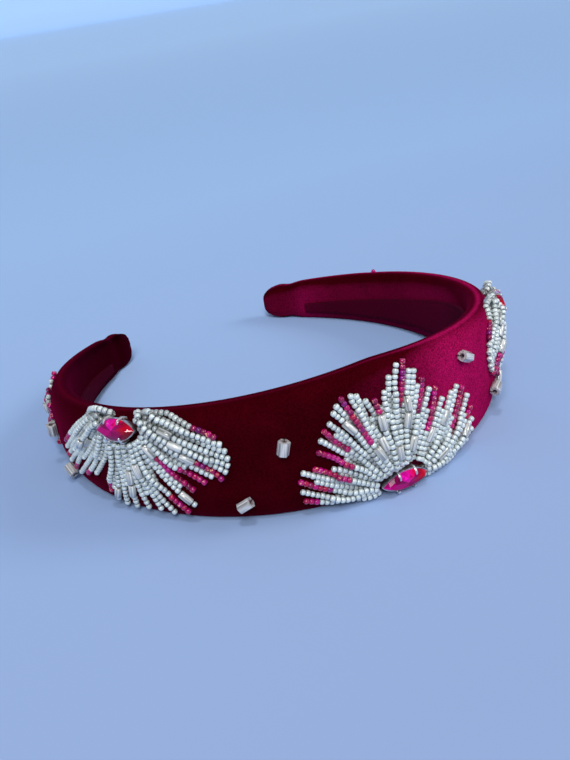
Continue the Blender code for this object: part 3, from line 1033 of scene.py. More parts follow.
def lining_mesh():
    """The closed strip: a face towards the head, a face towards the velvet, and its rim."""
    places = np.linspace(-LINING_END, LINING_END, LINING_ROWS + 1)
    corners, loops = [], []
    for along in places:
        end = min(1.0, (LINING_END - abs(along)) / END_ROUNDING)
        for layer in (1, 0):
            for column in range(LINING_COLUMNS + 1):
                across = column / LINING_COLUMNS
                edge = min(1.0, EDGE_STEEPNESS * min(across, 1 - across))
                edge = min(edge, END_TUCK + (1 - END_TUCK) * end)
                tuck = math.sqrt(max(0.0, 1 - (1 - edge) ** 2))
                lift = GAP + LINING_THICKNESS * (layer * (RIM_SHARE + (1 - RIM_SHARE) * tuck))
                shift = across if layer else 1 - across
                corners.append(lining_point(float(along), shift, lift))
    around = 2 * (LINING_COLUMNS + 1)
    faces = [tuple(range(around)), tuple(range(len(corners) - around, len(corners)))]
    faces += ring_faces(LINING_ROWS + 1, around)
    mesh = bpy.data.meshes.new("head_lining")
    mesh.from_pydata(corners, [], faces)
    weave = mesh.uv_layers.new(name="cloth")
    for face in mesh.polygons:
        for loop in face.loop_indices:
            row, side = divmod(mesh.loops[loop].vertex_index, around)
            weave.data[loop].uv = (float(places[row]), side / around)
    # painted light and shade for the lining, from the head side column of the same table
    painted_lights = [between(PAINTED_LIGHT_TABLE, float(along), 2) for along in places]
    painted_lit = mesh.attributes.new("nap", "FLOAT", "POINT")
    painted_lit.data.foreach_set("value", np.repeat(painted_lights, around))
    turn_outwards(mesh)
    mesh.shade_smooth()
    mesh.set_sharp_from_angle(angle=SHARP_RIM)
    return mesh


def ribbed_cloth():
    """Dull burgundy velvet of the lining, with a fine rib across the band."""
    material, recipe, shader = finish("lining_cloth", {
        "Sheen Weight": 0.08, "Sheen Roughness": 0.5, "Sheen Tint": VELVET_SHEEN,
        "Specular IOR Level": 0.02})
    run = recipe.axes(recipe.take("ShaderNodeUVMap", {"uv_map": "cloth"}))[0]
    place = recipe.object_place()
    rib = recipe.maths("SINE", run * (2 * math.pi / RIB_PITCH)) * 0.5 + 0.5
    fibre = recipe.noise(place, 1800.0, 3.0, 0.6)
    worn = recipe.noise(place, 40.0, 2.0)
    share = recipe.clamped(rib * 0.35 + fibre * 0.5 + worn * 0.5 - 0.3)
    plain = recipe.blend(share, LINING_DEEP, LINING_PALE)
    # painted light: the value on the mesh lifts the lining towards the painted lit magenta
    lit = recipe.clamped(recipe.attribute("nap") * (0.05 + fibre * 0.35))
    recipe.feed(shader.inputs["Base Color"], recipe.blend(lit, plain, VELVET_PAINTED_LIT))
    recipe.feed(shader.inputs["Roughness"], 0.82 + fibre * 0.15)
    recipe.feed(shader.inputs["Normal"], recipe.bump(rib * 0.6 + fibre * 0.4, 0.00012, 0.7))
    return material


head_lining = add_object("head_lining", lining_mesh())
head_lining.data.materials.append(ribbed_cloth())
keep(head_lining, "lining", "lining")
print("lining faces:", len(head_lining.data.polygons))

# %% [markdown]
# ## Things that repeat: Geometry Nodes
# Hundreds of stitches and thousands of beads follow threads, so they are grown from the
# threads. A thread is a mesh of points joined by edges. A tree turns it into a curve, puts a
# shape on its points and makes the copies real. The helpers below start a tree, end it, and
# run it: they set its inputs by their socket identifiers before anything is evaluated, keep
# the result as a plain mesh, and throw the carrier away.

# %% Helpers for node trees


def new_tree(name, inputs):
    """A Geometry Nodes tree with named inputs; returns its recipe, its inputs and its output."""
    tree = bpy.data.node_groups.new(name, "GeometryNodeTree")
    tree.interface.new_socket(name="Geometry", in_out="INPUT", socket_type="NodeSocketGeometry")
    tree.interface.new_socket(name="Geometry", in_out="OUTPUT", socket_type="NodeSocketGeometry")
    for label, kind in inputs.items():
        tree.interface.new_socket(name=label, in_out="INPUT", socket_type="NodeSocket" + kind)
    recipe = Recipe(tree)
    given = recipe.node("NodeGroupInput")
    values = {label: Value(recipe, given.outputs[label]) for label in ("Geometry", *inputs)}
    return recipe, values, recipe.node("NodeGroupOutput")


def close_tree(recipe, result, shapes, surface):
    """End a tree: real copies, smooth shading and one finish. Returns the tree."""
    real = recipe.take("GeometryNodeRealizeInstances", {}, {"Geometry": shapes})
    smooth = recipe.take("GeometryNodeSetShadeSmooth", {}, {"Geometry": real})
    finished = recipe.take("GeometryNodeSetMaterial", {}, {"Geometry": smooth, "Material": surface})
    recipe.feed(result.inputs[0], finished)
    return recipe.tree


def grow(name, threads, tree, settings):
    """Run a tree on a mesh of threads and keep what it makes."""
    carrier = add_object(name + "_threads", threads)
    modifier = carrier.modifiers.new("grow", "NODES")
    modifier.node_group = tree
    identifiers = {item.name: item.identifier for item in tree.interface.items_tree
                   if item.in_out == "INPUT"}
    for label, value in settings.items():
        modifier[identifiers[label]] = value
    bpy.context.view_layer.update()
    seen = carrier.evaluated_get(bpy.context.evaluated_depsgraph_get())
    mesh = bpy.data.meshes.new_from_object(seen)
    mesh.name = name
    bpy.data.objects.remove(carrier, do_unlink=True)
    return add_object(name, mesh)


def thread_mesh(name, paths):
    """Points joined into threads, one thread a path."""
    points, edges = [], []
    for path in paths:
        first = len(points)
        points += [tuple(point) for point in path]
        edges += [(number, number + 1) for number in range(first, len(points) - 1)]
    mesh = bpy.data.meshes.new(name)
    mesh.from_pydata(points, edges, [])
    return mesh


print("node tree helpers ready")

# %% [markdown]
# ## Stitches along the lining
# The lining is held by a row of small slanted stitches at each edge. Their tree walks along
# the edge in even steps and sets down a slim rounded stitch at each, turned out of the line by
# the slant and a little at random. The seed is fixed, so each run gives the same seam.

# %% Stitch tree and seams


def stitch_tree():
    """Slanted stitches at even steps along a thread."""
    recipe, given, result = new_tree("stitches", {
        "Step": "Float", "Stitch length": "Float", "Thread width": "Float", "Slant": "Float",
        "Unevenness": "Float", "Seed": "Int", "Finish": "Material"})
    curve = recipe.take("GeometryNodeMeshToCurve", {}, {"Mesh": given["Geometry"]})
    points = recipe.node("GeometryNodeCurveToPoints", {"mode": "LENGTH"},
                         {"Curve": curve, "Length": given["Step"]})
    ball = recipe.take("GeometryNodeMeshUVSphere", {}, {"Segments": 6, "Rings": 5, "Radius": 0.5})
    size = recipe.take("ShaderNodeCombineXYZ", {}, {
        "X": given["Thread width"], "Y": given["Thread width"], "Z": given["Stitch length"]})
    stitch = recipe.take("GeometryNodeTransform", {}, {"Geometry": ball, "Scale": size})
    wander = recipe.take("FunctionNodeRandomValue", {"data_type": "FLOAT"}, {
        "Min": 0 - given["Unevenness"], "Max": given["Unevenness"], "Seed": given["Seed"]})
    lean = recipe.take("ShaderNodeCombineXYZ", {}, {"X": given["Slant"] + wander})
    turned = recipe.take("FunctionNodeRotateRotation", {"rotation_space": "LOCAL"}, {
        "Rotation": recipe.out(points, "Rotation"),
        "Rotate By": recipe.take("FunctionNodeEulerToRotation", {}, {"Euler": lean})})
    copies = recipe.take("GeometryNodeInstanceOnPoints", {}, {
        "Points": recipe.out(points, "Points"), "Instance": stitch, "Rotation": turned})
    return close_tree(recipe, result, copies, given["Finish"])


def sewing_thread(name, dark, light, sheen):
    """Twisted thread: fine diagonal ridges of lighter and darker ply."""
    material, recipe, shader = finish(name, {
        "Roughness": 0.7, "Sheen Weight": sheen, "Specular IOR Level": 0.08})
    place = recipe.object_place()
    ply = recipe.noise(place, 5200.0, 1.0)
    recipe.feed(shader.inputs["Base Color"], recipe.blend(ply, dark, light))
    recipe.feed(shader.inputs["Normal"], recipe.bump(ply, 0.00005))
    return material


SEAM_INSET = 0.05
SEAM_LIFT = GAP + LINING_THICKNESS * 0.95
SEAM_END = 0.985 * LINING_END
SEAM_POINTS = 400
burgundy_thread = sewing_thread(
    "burgundy_thread", (0.010, 0.0002, 0.002, 1), (0.045, 0.0006, 0.010, 1), 0.0)
seams = [[lining_point(float(along), across, SEAM_LIFT)
          for along in np.linspace(-SEAM_END, SEAM_END, SEAM_POINTS)]
         for across in (SEAM_INSET, 1 - SEAM_INSET)]
lining_stitches = grow("lining_stitches", thread_mesh("seams", seams), stitch_tree(), {
    "Step": 0.0026, "Stitch length": 0.0014, "Thread width": 0.00030, "Slant": 0.45,
    "Unevenness": 0.12, "Seed": 4, "Finish": burgundy_thread})
keep(lining_stitches, "lining", "lining")
print("stitch faces:", len(lining_stitches.data.polygons))

# %% [markdown]
# ## The stones
# Each motif has a navette: a stone cut as a pointed oval, with a flat table on top and rows of
# facets round it. The convex hull of a few rings of points is exactly such a cut: the rings are
# shifted against each other by half a step, and the hull folds the facets between them. The
# stone sits in a thin metal cup, and four claws reach over its edge. Each facet carries its own
# brightness, a painted reflection of the sharp patches of light that foil throws back behind
# real glass, and wedges round the middle are painted reflections of the facets of the back,
# seen through the glass.

# %% Cut the stone
OUTLINE_STEPS = 8
FLAT_ENOUGH = math.radians(1.5)
FACET_SEED = 11
STONE_RINGS = (
    # inset in half widths, height in STONE_HEIGHT, shift in steps
    (0.40, 0.34, 0.0),
    (0.07, 0.58, 0.0),
    (0.07, 0.65, 0.0),
    (0.30, 0.86, 0.5),
    (0.54, 1.00, 0.0),
)


def navette(inset, height, steps=OUTLINE_STEPS, shift=0.0):
    """A pointed oval of two arcs as a ring of points, in metres."""
    half_length = STONE_LENGTH / 2 - inset
    half_width = STONE_WIDTH / 2 - inset
    radius = (half_length ** 2 + half_width ** 2) / (2 * half_width)
    opening = math.asin(half_length / radius)
    ring = []
    for side in (1, -1):
        for step in range(steps):
            angle = side * opening * (1 - 2 * (step + shift) / steps)
            rise = radius * math.cos(angle) - (radius - half_width)
            ring.append(Vector((radius * math.sin(angle), side * rise, height)))
    return ring


def cut_stone():
    """The faceted glass, with a brightness for each facet."""
    shape = bmesh.new()
    for inset, height, shift in STONE_RINGS:
        for point in navette(inset * STONE_WIDTH / 2, height * STONE_HEIGHT, shift=shift):
            shape.verts.new(point)
    hull = bmesh.ops.convex_hull(shape, input=shape.verts)
    spare = [item for item in hull["geom_interior"] if isinstance(item, bmesh.types.BMVert)]
    bmesh.ops.delete(shape, geom=spare, context="VERTS")
    bmesh.ops.dissolve_limit(shape, angle_limit=FLAT_ENOUGH, verts=shape.verts, edges=shape.edges)
    bmesh.ops.recalc_face_normals(shape, faces=shape.faces)
    mesh = bpy.data.meshes.new("cut_stone")
    shape.to_mesh(mesh)
    shape.free()
    # painted reflection: a random brightness for each facet
    dice = random.Random(FACET_SEED)
    light = mesh.attributes.new("facet_light", "FLOAT", "FACE")
    light.data.foreach_set("value", [dice.random() for _ in mesh.polygons])
    return mesh


stone_pattern = cut_stone()
print("facets:", len(stone_pattern.polygons))

# %% Bend the cup and its claws
CUP_STEPS = 20
CUP_PROFILE = (
    # inset in half widths, height in STONE_HEIGHT
    (0.20, 0.00),
    (0.06, 0.30),
    (-0.03, 0.56),
    (-0.03, 0.62),
    (0.05, 0.62),
    (0.10, 0.50),
    (0.16, 0.30),
    (0.30, 0.03),
)
CLAW_SIDES = 7
CLAW_PLACE = 0.36
SHARP_METAL = math.radians(50)
CLAW_PATH = (
    # offset from the stone's edge in half widths, height in STONE_HEIGHT, radius in mm
    (0.02, 0.10, 0.30),
    (0.10, 0.36, 0.34),
    (0.14, 0.60, 0.36),
    (0.08, 0.78, 0.36),
    (-0.08, 0.90, 0.38),
    (-0.26, 0.97, 0.34),
    (-0.34, 0.97, 0.20),
)


def rod(path, radii):
    """Corners and faces of a closed rod along a path."""
    corners = []
    for number, point in enumerate(path):
        ahead = path[min(number + 1, len(path) - 1)] - path[max(number - 1, 0)]
        ahead.normalize()
        beside = ahead.orthogonal().normalized()
        if number:
            beside = (last - ahead * last.dot(ahead)).normalized()
        last = beside
        other = ahead.cross(beside)
        for side in range(CLAW_SIDES):
            angle = 2 * math.pi * side / CLAW_SIDES
            across = math.cos(angle) * beside + math.sin(angle) * other
            corners.append(point + radii[number] * across)
    faces = ring_faces(len(path), CLAW_SIDES)
    faces.append(tuple(range(CLAW_SIDES))[::-1])
    faces.append(tuple(range(len(corners) - CLAW_SIDES, len(corners))))
    return corners, faces


def join_parts(name, parts):
    """One mesh from several lists of corners and faces, smooth but for its sharp edges."""
    corners, faces = [], []
    for part_corners, part_faces in parts:
        first = len(corners)
        corners += part_corners
        faces += [tuple(first + index for index in face) for face in part_faces]
    mesh = bpy.data.meshes.new(name)
    mesh.from_pydata(corners, [], faces)
    turn_outwards(mesh)
    mesh.shade_smooth()
    mesh.set_sharp_from_angle(angle=SHARP_METAL)
    return mesh


def cup_and_claws():
    """The metal setting of one stone."""
    rings = [navette(inset * STONE_WIDTH / 2, height * STONE_HEIGHT, CUP_STEPS)
             for inset, height in CUP_PROFILE]
    corners = [point for ring in rings for point in ring]
    parts = [(corners, ring_faces(len(rings), len(rings[0]), closed=True))]
    edge = sorted((point.x, point.y) for point in navette(0, 0, CUP_STEPS) if point.y >= 0)
    for end in (-1, 1):
        for side in (-1, 1):
            middle = end * CLAW_PLACE * STONE_LENGTH / 2
            reach = between(edge, middle)
            path = [Vector((middle, side * (reach + offset * STONE_WIDTH / 2),
                            height * STONE_HEIGHT)) for offset, height, _ in CLAW_PATH]
            parts.append(rod(path, [radius / 1000 for _, _, radius in CLAW_PATH]))
    return join_parts("cup_and_claws", parts)


setting_pattern = cup_and_claws()
print("setting faces:", len(setting_pattern.polygons))

# %% [markdown]
# The glass is a strong fuchsia that turns to red towards one end, as in coated stones. Its own
# roughness is almost nothing, and a thin coat sharpens the highlights. A little of the stone's
# colour glows as painted light, for the light that foil sends back from behind. Each facet's
# brightness and each wedge's, both painted reflection, together choose between a deep, a middle
# and a bright tone. The setting is bright metal with fine scratches and some darker, grimy places.

# %% Glass and metal
BACK_FACETS = 12
STONE_TONES = (
    # fuchsia end and red end, of the deep, the middle and the bright tone
    ((0.15, 0.000, 0.050, 1.0), (0.22, 0.000, 0.006, 1.0)),
    ((0.40, 0.000, 0.15, 1.0), (0.44, 0.000, 0.020, 1.0)),
    ((0.90, 0.004, 0.46, 1.0), (0.80, 0.002, 0.045, 1.0)),
)
METAL_CLEAN = (0.88, 0.87, 0.86, 1)
METAL_GRIMY = (0.46, 0.43, 0.41, 1)


def stone_glass():
    """Fuchsia glass, with painted reflections of its foil and of the facets of its back, and a
    painted glow.
    """
    material, recipe, shader = finish("fuchsia_stone", {
        "Roughness": 0.06, "IOR": 1.5, "Coat Weight": 0.10, "Coat Roughness": 0.02,
        "Specular IOR Level": 0.14, "Emission Strength": 0.14})
    facet = recipe.attribute("facet_light")
    across, beside, _ = recipe.axes(recipe.attribute("stone_place", "Vector"))
    turn = recipe.maths("ARCTAN2", beside * (STONE_LENGTH / STONE_WIDTH), across)
    wedge = recipe.maths("FLOOR", turn * (BACK_FACETS / (2 * math.pi)))
    spark = recipe.take("ShaderNodeTexWhiteNoise", {"noise_dimensions": "1D"}, {"W": wedge},
                        output="Value")
    redness = recipe.stretched(across + (spark - 0.5) * 0.003, 0.0008, 0.0036)
    deep, middle, bright = (recipe.blend(redness, *tones) for tones in STONE_TONES)
    # painted reflection: facet and wedge brightness pick the deep, middle or bright tone
    lit = recipe.clamped(facet * 0.45 + spark * 0.85 - 0.2)
    first = recipe.blend(recipe.stretched(lit, 0.0, 0.5), deep, middle)
    facet_reflections = recipe.blend(recipe.stretched(lit, 0.62, 0.95), first, bright)
    recipe.feed(shader.inputs["Base Color"], facet_reflections)
    # painted light: the same colour glows
    recipe.feed(shader.inputs["Emission Color"], facet_reflections)
    return material


def bright_metal():
    """Polished silver-coloured brass with fine scratches."""
    material, recipe, shader = finish("silver_setting", {"Metallic": 1.0})
    place = recipe.object_place()
    scratch = recipe.noise(place, 1500.0, 3.0)
    grime = recipe.stretched(recipe.noise(place, 420.0, 2.0), 0.50, 0.80)
    recipe.feed(shader.inputs["Base Color"], recipe.blend(grime, METAL_CLEAN, METAL_GRIMY))
    recipe.feed(shader.inputs["Roughness"], 0.20 + scratch * 0.20)
    return material


def seat(motif):
    """The matrix that sets a stone down on the velvet, its length along the band."""
    point, tangent, normal = face_frame(*motif.place(0, 0))
    return placed(point + normal * GAP, tangent, normal.cross(tangent), normal)


def set_stones():
    """One stone and one setting for each motif, with their places in their meshes."""
    glass, metal = stone_glass(), bright_metal()
    for motif in motifs:
        for label, pattern, surface, slot in (("stone_glass", stone_pattern, glass, "stone"),
                                              ("stone_setting", setting_pattern, metal, None)):
            mesh = pattern.copy()
            own = mesh.attributes.new("stone_place", "FLOAT_VECTOR", "POINT")
            local = coordinates(mesh)
            local[:, 0] *= -motif.facing
            own.data.foreach_set("vector", local.ravel())
            mesh.transform(seat(motif))
            mesh.materials.append(surface)
            keep(add_object(label + "_" + motif.name, mesh), slot, "stone_" + motif.name)


set_stones()
print("stones set:", len(motifs))

# %% [markdown]
# ## Stringing the fans
# A strand is a thread with beads strung on it, and beads can't pass through each other. With
# some thirty strands starting round one small stone, the lower part of a fan piles up two and
# three beads deep, and only the tips lie side by side. To get that pile, every bead is first
# placed on a smooth arch through the chart's three places. The arches differ in height, and
# those with pink beads or bugles are lifted more, so that these end up on top of the heap. Then
# the beads settle: neighbours on a thread keep their distance, any two beads that overlap are
# pushed apart, nothing goes far below the velvet or into the stone, and each bead is drawn a
# little to its own place, the roots and tips more. After 140 such rounds the heap hardly moves.
# It is worked out on the flat, in metres along, out and off the velvet, and laid on the band
# afterwards. A bead that lies under others gets less light, so how far it is covered is
# written on its point, and the glass darkens it with painted shade.

# %% String the beads
PEARL, PINK, BUGLE, HIDDEN = 0, 1, 2, 3
BEAD_PITCH = 0.00144
BEAD_RADIUS = 0.00081
BUGLE_RADIUS = 0.00105
BUGLE_UNITS = 3
PATH_STEPS = 60
PATH_STRETCH = 1.02
FEWEST_BEADS = 4
PLAIN_ROOT_BEADS = 3
TOP_RISES = (0.0012, 0.0019, 0.0008)
SHOWN_LIFT = 0.0011
FILLING_RISES = (0.0001, 0.0003)
RISE_FADE = 0.6
ROOT_RISE, LATER_RISE, ROOT_REACH = 0.35, 0.65, 0.3
RISE_WANDER = 0.0002
WANDER = 0.0008
TIP_STEADINESS = 3
START_WANDER = 0.45 * BEAD_PITCH


def arch_path(root, arch, tip, rise, share):
    """A smooth line through three places, lifted between them."""
    root, arch, tip = np.array(root), np.array(arch), np.array(tip)
    bend = 2 * arch - (root + tip) / 2
    flat = (1 - share) ** 2 * root + 2 * share * (1 - share) * bend + share ** 2 * tip
    swing = ROOT_RISE + LATER_RISE * min(1.0, share / ROOT_REACH)
    return np.array((*flat, BEAD_RADIUS + rise * (1 - share) ** RISE_FADE * swing))


def string_beads(root, arch, tip, pink, bugles, rise, start):
    """Places and kinds of the beads of one strand, spaced evenly along its path from the start."""
    fine = np.array([arch_path(root, arch, tip, rise, share)
                     for share in np.linspace(0, 1, PATH_STEPS)])
    run = np.concatenate(([0], np.cumsum(np.linalg.norm(np.diff(fine, axis=0), axis=1))))
    count = max(FEWEST_BEADS, int((run[-1] - start) * PATH_STRETCH / BEAD_PITCH) + 1)
    steps = np.linspace(start, run[-1], count)
    places = np.stack([np.interp(steps, run, fine[:, axis]) for axis in range(3)], axis=1)
    kinds = [PEARL] * count
    for place in bugles:
        first = max(1, min(count - BUGLE_UNITS - 1, int(place * count)))
        kinds[first:first + BUGLE_UNITS] = [HIDDEN, BUGLE, HIDDEN]
    for number in range(count - min(pink, count - PLAIN_ROOT_BEADS), count):
        if kinds[number] == PEARL:
            kinds[number] = PINK
    return places, kinds


def string_motif(motif):
    """All strands of a fan: the places and kinds of its beads, and each strand's share of them."""
    places, kinds, spans = [], [], []
    dice = random.Random(motif.name)
    layers = [(strand, TOP_RISES) for strand in motif.strands()]
    layers += [(strand, FILLING_RISES) for strand in list(motif.filling())[::FILLING_EVERY]]
    for number, ((root, arch, tip, pink, bugles), rises) in enumerate(layers):
        rise = rises[number % len(rises)] + dice.uniform(-RISE_WANDER, RISE_WANDER)
        rise += SHOWN_LIFT if pink or bugles else 0
        arch = [value + dice.uniform(-WANDER, WANDER) for value in arch]
        tip = [value + dice.uniform(-WANDER, WANDER) / TIP_STEADINESS for value in tip]
        start = dice.uniform(0, START_WANDER)
        beads, own_kinds = string_beads(root, arch, tip, pink, bugles, rise, start)
        spans.append((len(places), len(places) + len(beads)))
        places += list(beads)
        kinds += own_kinds
    return np.array(places), np.array(kinds), spans


strung = {motif.name: string_motif(motif) for motif in motifs}
print("beads strung:", {name: len(kinds) for name, (_, kinds, _) in strung.items()})

# %% Let the beads settle
SETTLE_ROUNDS = 140
ROUNDS_PER_LOOK = 7
PAIR_MARGIN = 0.0007
PUSH_SHARE = 0.6
PILE_SINK = 0.0002
SINK_A_ROUND = 0.00002
HOME_PULL, ROOT_PULL, TIP_PULL = 0.035, 0.25, 0.35
THREAD_STIFFNESS, BUGLE_STIFFNESS = 0.08, 0.9
SPACING_PASSES, SPACING_SHARE = 2, 0.9
CLAW_ROOM = 0.0004
STONE_NEARNESS = 0.9
LOWEST_UP = {"rising": 0.057, "falling": 0.02}
TOP_LEFT_FREE = 0.05
COVER_REACH = 0.0019
COVER_HEIGHT = 0.7 * BEAD_RADIUS
COVER_FULL = 3


def close_pairs(places, same_thread):
    """Pairs of beads of different threads, or far apart on one, that could come to touch."""
    gap = places[:, None, :] - places[None, :, :]
    near = (gap ** 2).sum(axis=2) < (2 * BEAD_RADIUS + PAIR_MARGIN) ** 2
    return np.nonzero(np.triu(near & ~same_thread))


def push_apart(places, pairs, radii):
    """Move every overlapping pair of beads apart, each by half of the overlap."""
    first, second = pairs
    gap = places[first] - places[second]
    distance = np.sqrt((gap ** 2).sum(axis=1)) + 1e-9
    overlap = np.clip(radii[first] + radii[second] - distance, 0, None)
    push = gap * (PUSH_SHARE * overlap / distance * 0.5)[:, None]
    np.add.at(places, first, push)
    np.add.at(places, second, -push)


def keep_off_stone(places):
    """Push beads out of an oval round the setting, straight away from its middle."""
    half_length = STONE_LENGTH / 2 + CLAW_ROOM
    half_width = STONE_WIDTH / 2 + BEAD_RADIUS * STONE_NEARNESS
    shape = np.stack([places[:, 0] / half_length, places[:, 1] / half_width], axis=1)
    size = np.linalg.norm(shape, axis=1) + 1e-9
    inside = (size < 1) & (places[:, 2] < STONE_HEIGHT + BEAD_RADIUS)
    places[inside, :2] /= size[inside, None]


def thread_links(spans):
    """Each bead and the next on its thread, and every bead that lies between two others."""
    first, second, middles = [], [], []
    for start, stop in spans:
        first += range(start, stop - 1)
        second += range(start + 1, stop)
        middles += range(start + 1, stop - 1)
    return np.array(first), np.array(second), np.array(middles)


def settle(motif, places, kinds, spans):
    """Move the beads in place, by a fixed number of rounds of small corrections."""
    first, second, middles = thread_links(spans)
    same = np.eye(len(places), dtype=bool)
    same[first, second] = True
    same[second, first] = True
    roots = np.array([start for start, _ in spans])
    tips = np.array([stop - 1 for _, stop in spans])
    home = places.copy()
    lowest = -(motif.level if motif.fan == "rising" else motif.width - motif.level)
    lowest += LOWEST_UP[motif.fan] * motif.width
    highest = motif.depth - TOP_LEFT_FREE * motif.width
    stiff = np.where(kinds[middles] == BUGLE, BUGLE_STIFFNESS, THREAD_STIFFNESS)[:, None]
    radii = np.where(kinds >= BUGLE, BUGLE_RADIUS, BEAD_RADIUS)
    for moment in range(SETTLE_ROUNDS):
        if moment % ROUNDS_PER_LOOK == 0:
            pairs = close_pairs(places, same)
        push_apart(places, pairs, radii)
        places[:, 2] -= SINK_A_ROUND
        straight = (places[middles - 1] + places[middles + 1]) / 2 - places[middles]
        places[middles] += stiff * straight
        for _ in range(SPACING_PASSES):
            gap = places[second] - places[first]
            length = np.linalg.norm(gap, axis=1, keepdims=True) + 1e-9
            fix = gap * (length - BEAD_PITCH) / length * 0.5
            np.add.at(places, first, fix * SPACING_SHARE)
            np.add.at(places, second, -fix * SPACING_SHARE)
        places[:, :2] += HOME_PULL * (home - places)[:, :2]
        places[roots] += ROOT_PULL * (home[roots] - places[roots])
        places[tips] += TIP_PULL * (home[tips] - places[tips])
        keep_off_stone(places)
        places[:, 1] = np.clip(places[:, 1], lowest, highest)
        places[:, 2] = np.maximum(places[:, 2], radii - PILE_SINK)


def covered(places):
    """How far each bead lies under others: 0 on top of the heap, 1 below at least three."""
    beside = ((places[:, None, :2] - places[None, :, :2]) ** 2).sum(axis=2) < COVER_REACH ** 2
    above = places[None, :, 2] - places[:, None, 2] > COVER_HEIGHT
    return np.clip((beside & above).sum(axis=1) / COVER_FULL, 0, 1)


def on_velvet(motif, place):
    """A settled bead's point in the frame."""
    point, _, normal = face_frame(*motif.place(place[0], place[1]))
    return point + normal * place[2]


def bead_thread(motif):
    """The settled threads of one motif as a mesh whose points carry the kind of bead."""
    places, kinds, spans = strung[motif.name]
    settle(motif, places, kinds, spans)
    points = [on_velvet(motif, place) for place in places]
    mesh = thread_mesh("threads_" + motif.name, [points[start:stop] for start, stop in spans])
    kind = mesh.attributes.new("bead_kind", "INT", "POINT")
    kind.data.foreach_set("value", [int(value) for value in kinds])
    # painted shade: how far each bead lies under others, for the glass to darken it
    cover = mesh.attributes.new("bead_cover", "FLOAT", "POINT")
    cover.data.foreach_set("value", covered(places))
    print(motif.name, "pile height in mm:", in_mm([places[:, 2].max() + BEAD_RADIUS]))
    return mesh


threads = {motif.name: bead_thread(motif) for motif in motifs}

# %% [markdown]
# ## One tree for every bead
# A bead is a ring of glass. The tree bends a small ring whose section is a circle, then moves
# its points: the section's round shape is raised to a power, which keeps it nearly round for a
# seed bead and makes it square-shouldered for a bugle, and is stretched to the bead's length and
# wall. Copies go on the thread's points of the wanted kind, each a little larger or smaller.
# Each copy also carries a random number, from which the glass takes its own shade, and each
# of its points carries its place on the bead.

# %% Bead tree
RING_SECTION = 0.4
SECTION_POINTS = 8


def bead_tree():
    """Beads of one kind on the points of a thread."""
    recipe, given, result = new_tree("beads on a thread", {
        "Kind": "Int", "Bead length": "Float", "Bead width": "Float", "Hole": "Float",
        "Shoulder": "Float", "Sides": "Int", "Unevenness": "Float", "Seed": "Int",
        "Finish": "Material"})

    def shouldered(value):
        """The value raised to the shoulder's power, with its sign kept."""
        return recipe.maths("SIGN", value) * recipe.maths("ABSOLUTE", value) ** given["Shoulder"]

    ring = recipe.take("GeometryNodeCurvePrimitiveCircle", {}, {
        "Resolution": given["Sides"], "Radius": 1.0})
    section = recipe.take("GeometryNodeCurvePrimitiveCircle", {}, {
        "Resolution": SECTION_POINTS, "Radius": RING_SECTION})
    glass = recipe.take("GeometryNodeCurveToMesh", {}, {"Curve": ring, "Profile Curve": section})
    x, y, z = recipe.axes(recipe.take("GeometryNodeInputPosition"))
    away = recipe.maths("SQRT", x * x + y * y)
    wall = (given["Bead width"] - given["Hole"]) / 4
    middle = (given["Bead width"] + given["Hole"]) / 4
    radius = middle + wall * shouldered((away - 1) / RING_SECTION)
    shaped = recipe.take("ShaderNodeCombineXYZ", {}, {
        "X": x / away * radius, "Y": y / away * radius,
        "Z": given["Bead length"] / 2 * shouldered(z / RING_SECTION)})
    spot = recipe.take("ShaderNodeCombineXYZ", {}, {
        "X": x / away, "Y": y / away, "Z": z / RING_SECTION})
    spotted = recipe.take(
        "GeometryNodeStoreNamedAttribute", {"data_type": "FLOAT_VECTOR", "domain": "POINT"},
        {"Geometry": glass, "Name": "bead_spot", "Value": spot})
    bead = recipe.take("GeometryNodeSetPosition", {}, {"Geometry": spotted, "Position": shaped})
    curve = recipe.take("GeometryNodeMeshToCurve", {}, {"Mesh": given["Geometry"]})
    points = recipe.node("GeometryNodeCurveToPoints", {"mode": "EVALUATED"}, {"Curve": curve})
    kind = recipe.take("GeometryNodeInputNamedAttribute", {"data_type": "INT"}, {
        "Name": "bead_kind"})
    wanted = recipe.take("FunctionNodeCompare", {"data_type": "INT", "operation": "EQUAL"}, {
        "A": kind, "B": given["Kind"]})
    size = recipe.take("FunctionNodeRandomValue", {"data_type": "FLOAT"}, {
        "Min": 1 - given["Unevenness"], "Max": 1 + given["Unevenness"], "Seed": given["Seed"]})
    copies = recipe.take("GeometryNodeInstanceOnPoints", {}, {
        "Points": recipe.out(points, "Points"), "Selection": wanted, "Instance": bead,
        "Rotation": recipe.out(points, "Rotation"), "Scale": size})
    chance = recipe.take("FunctionNodeRandomValue", {"data_type": "FLOAT"}, {
        "Min": 0.0, "Max": 1.0, "Seed": given["Seed"] + 7})
    marked = recipe.take(
        "GeometryNodeStoreNamedAttribute", {"data_type": "FLOAT", "domain": "INSTANCE"},
        {"Geometry": copies, "Name": "bead_shade", "Value": chance})
    return close_tree(recipe, result, marked, given["Finish"])


bead_maker = bead_tree()
print("bead tree nodes:", len(bead_maker.nodes))
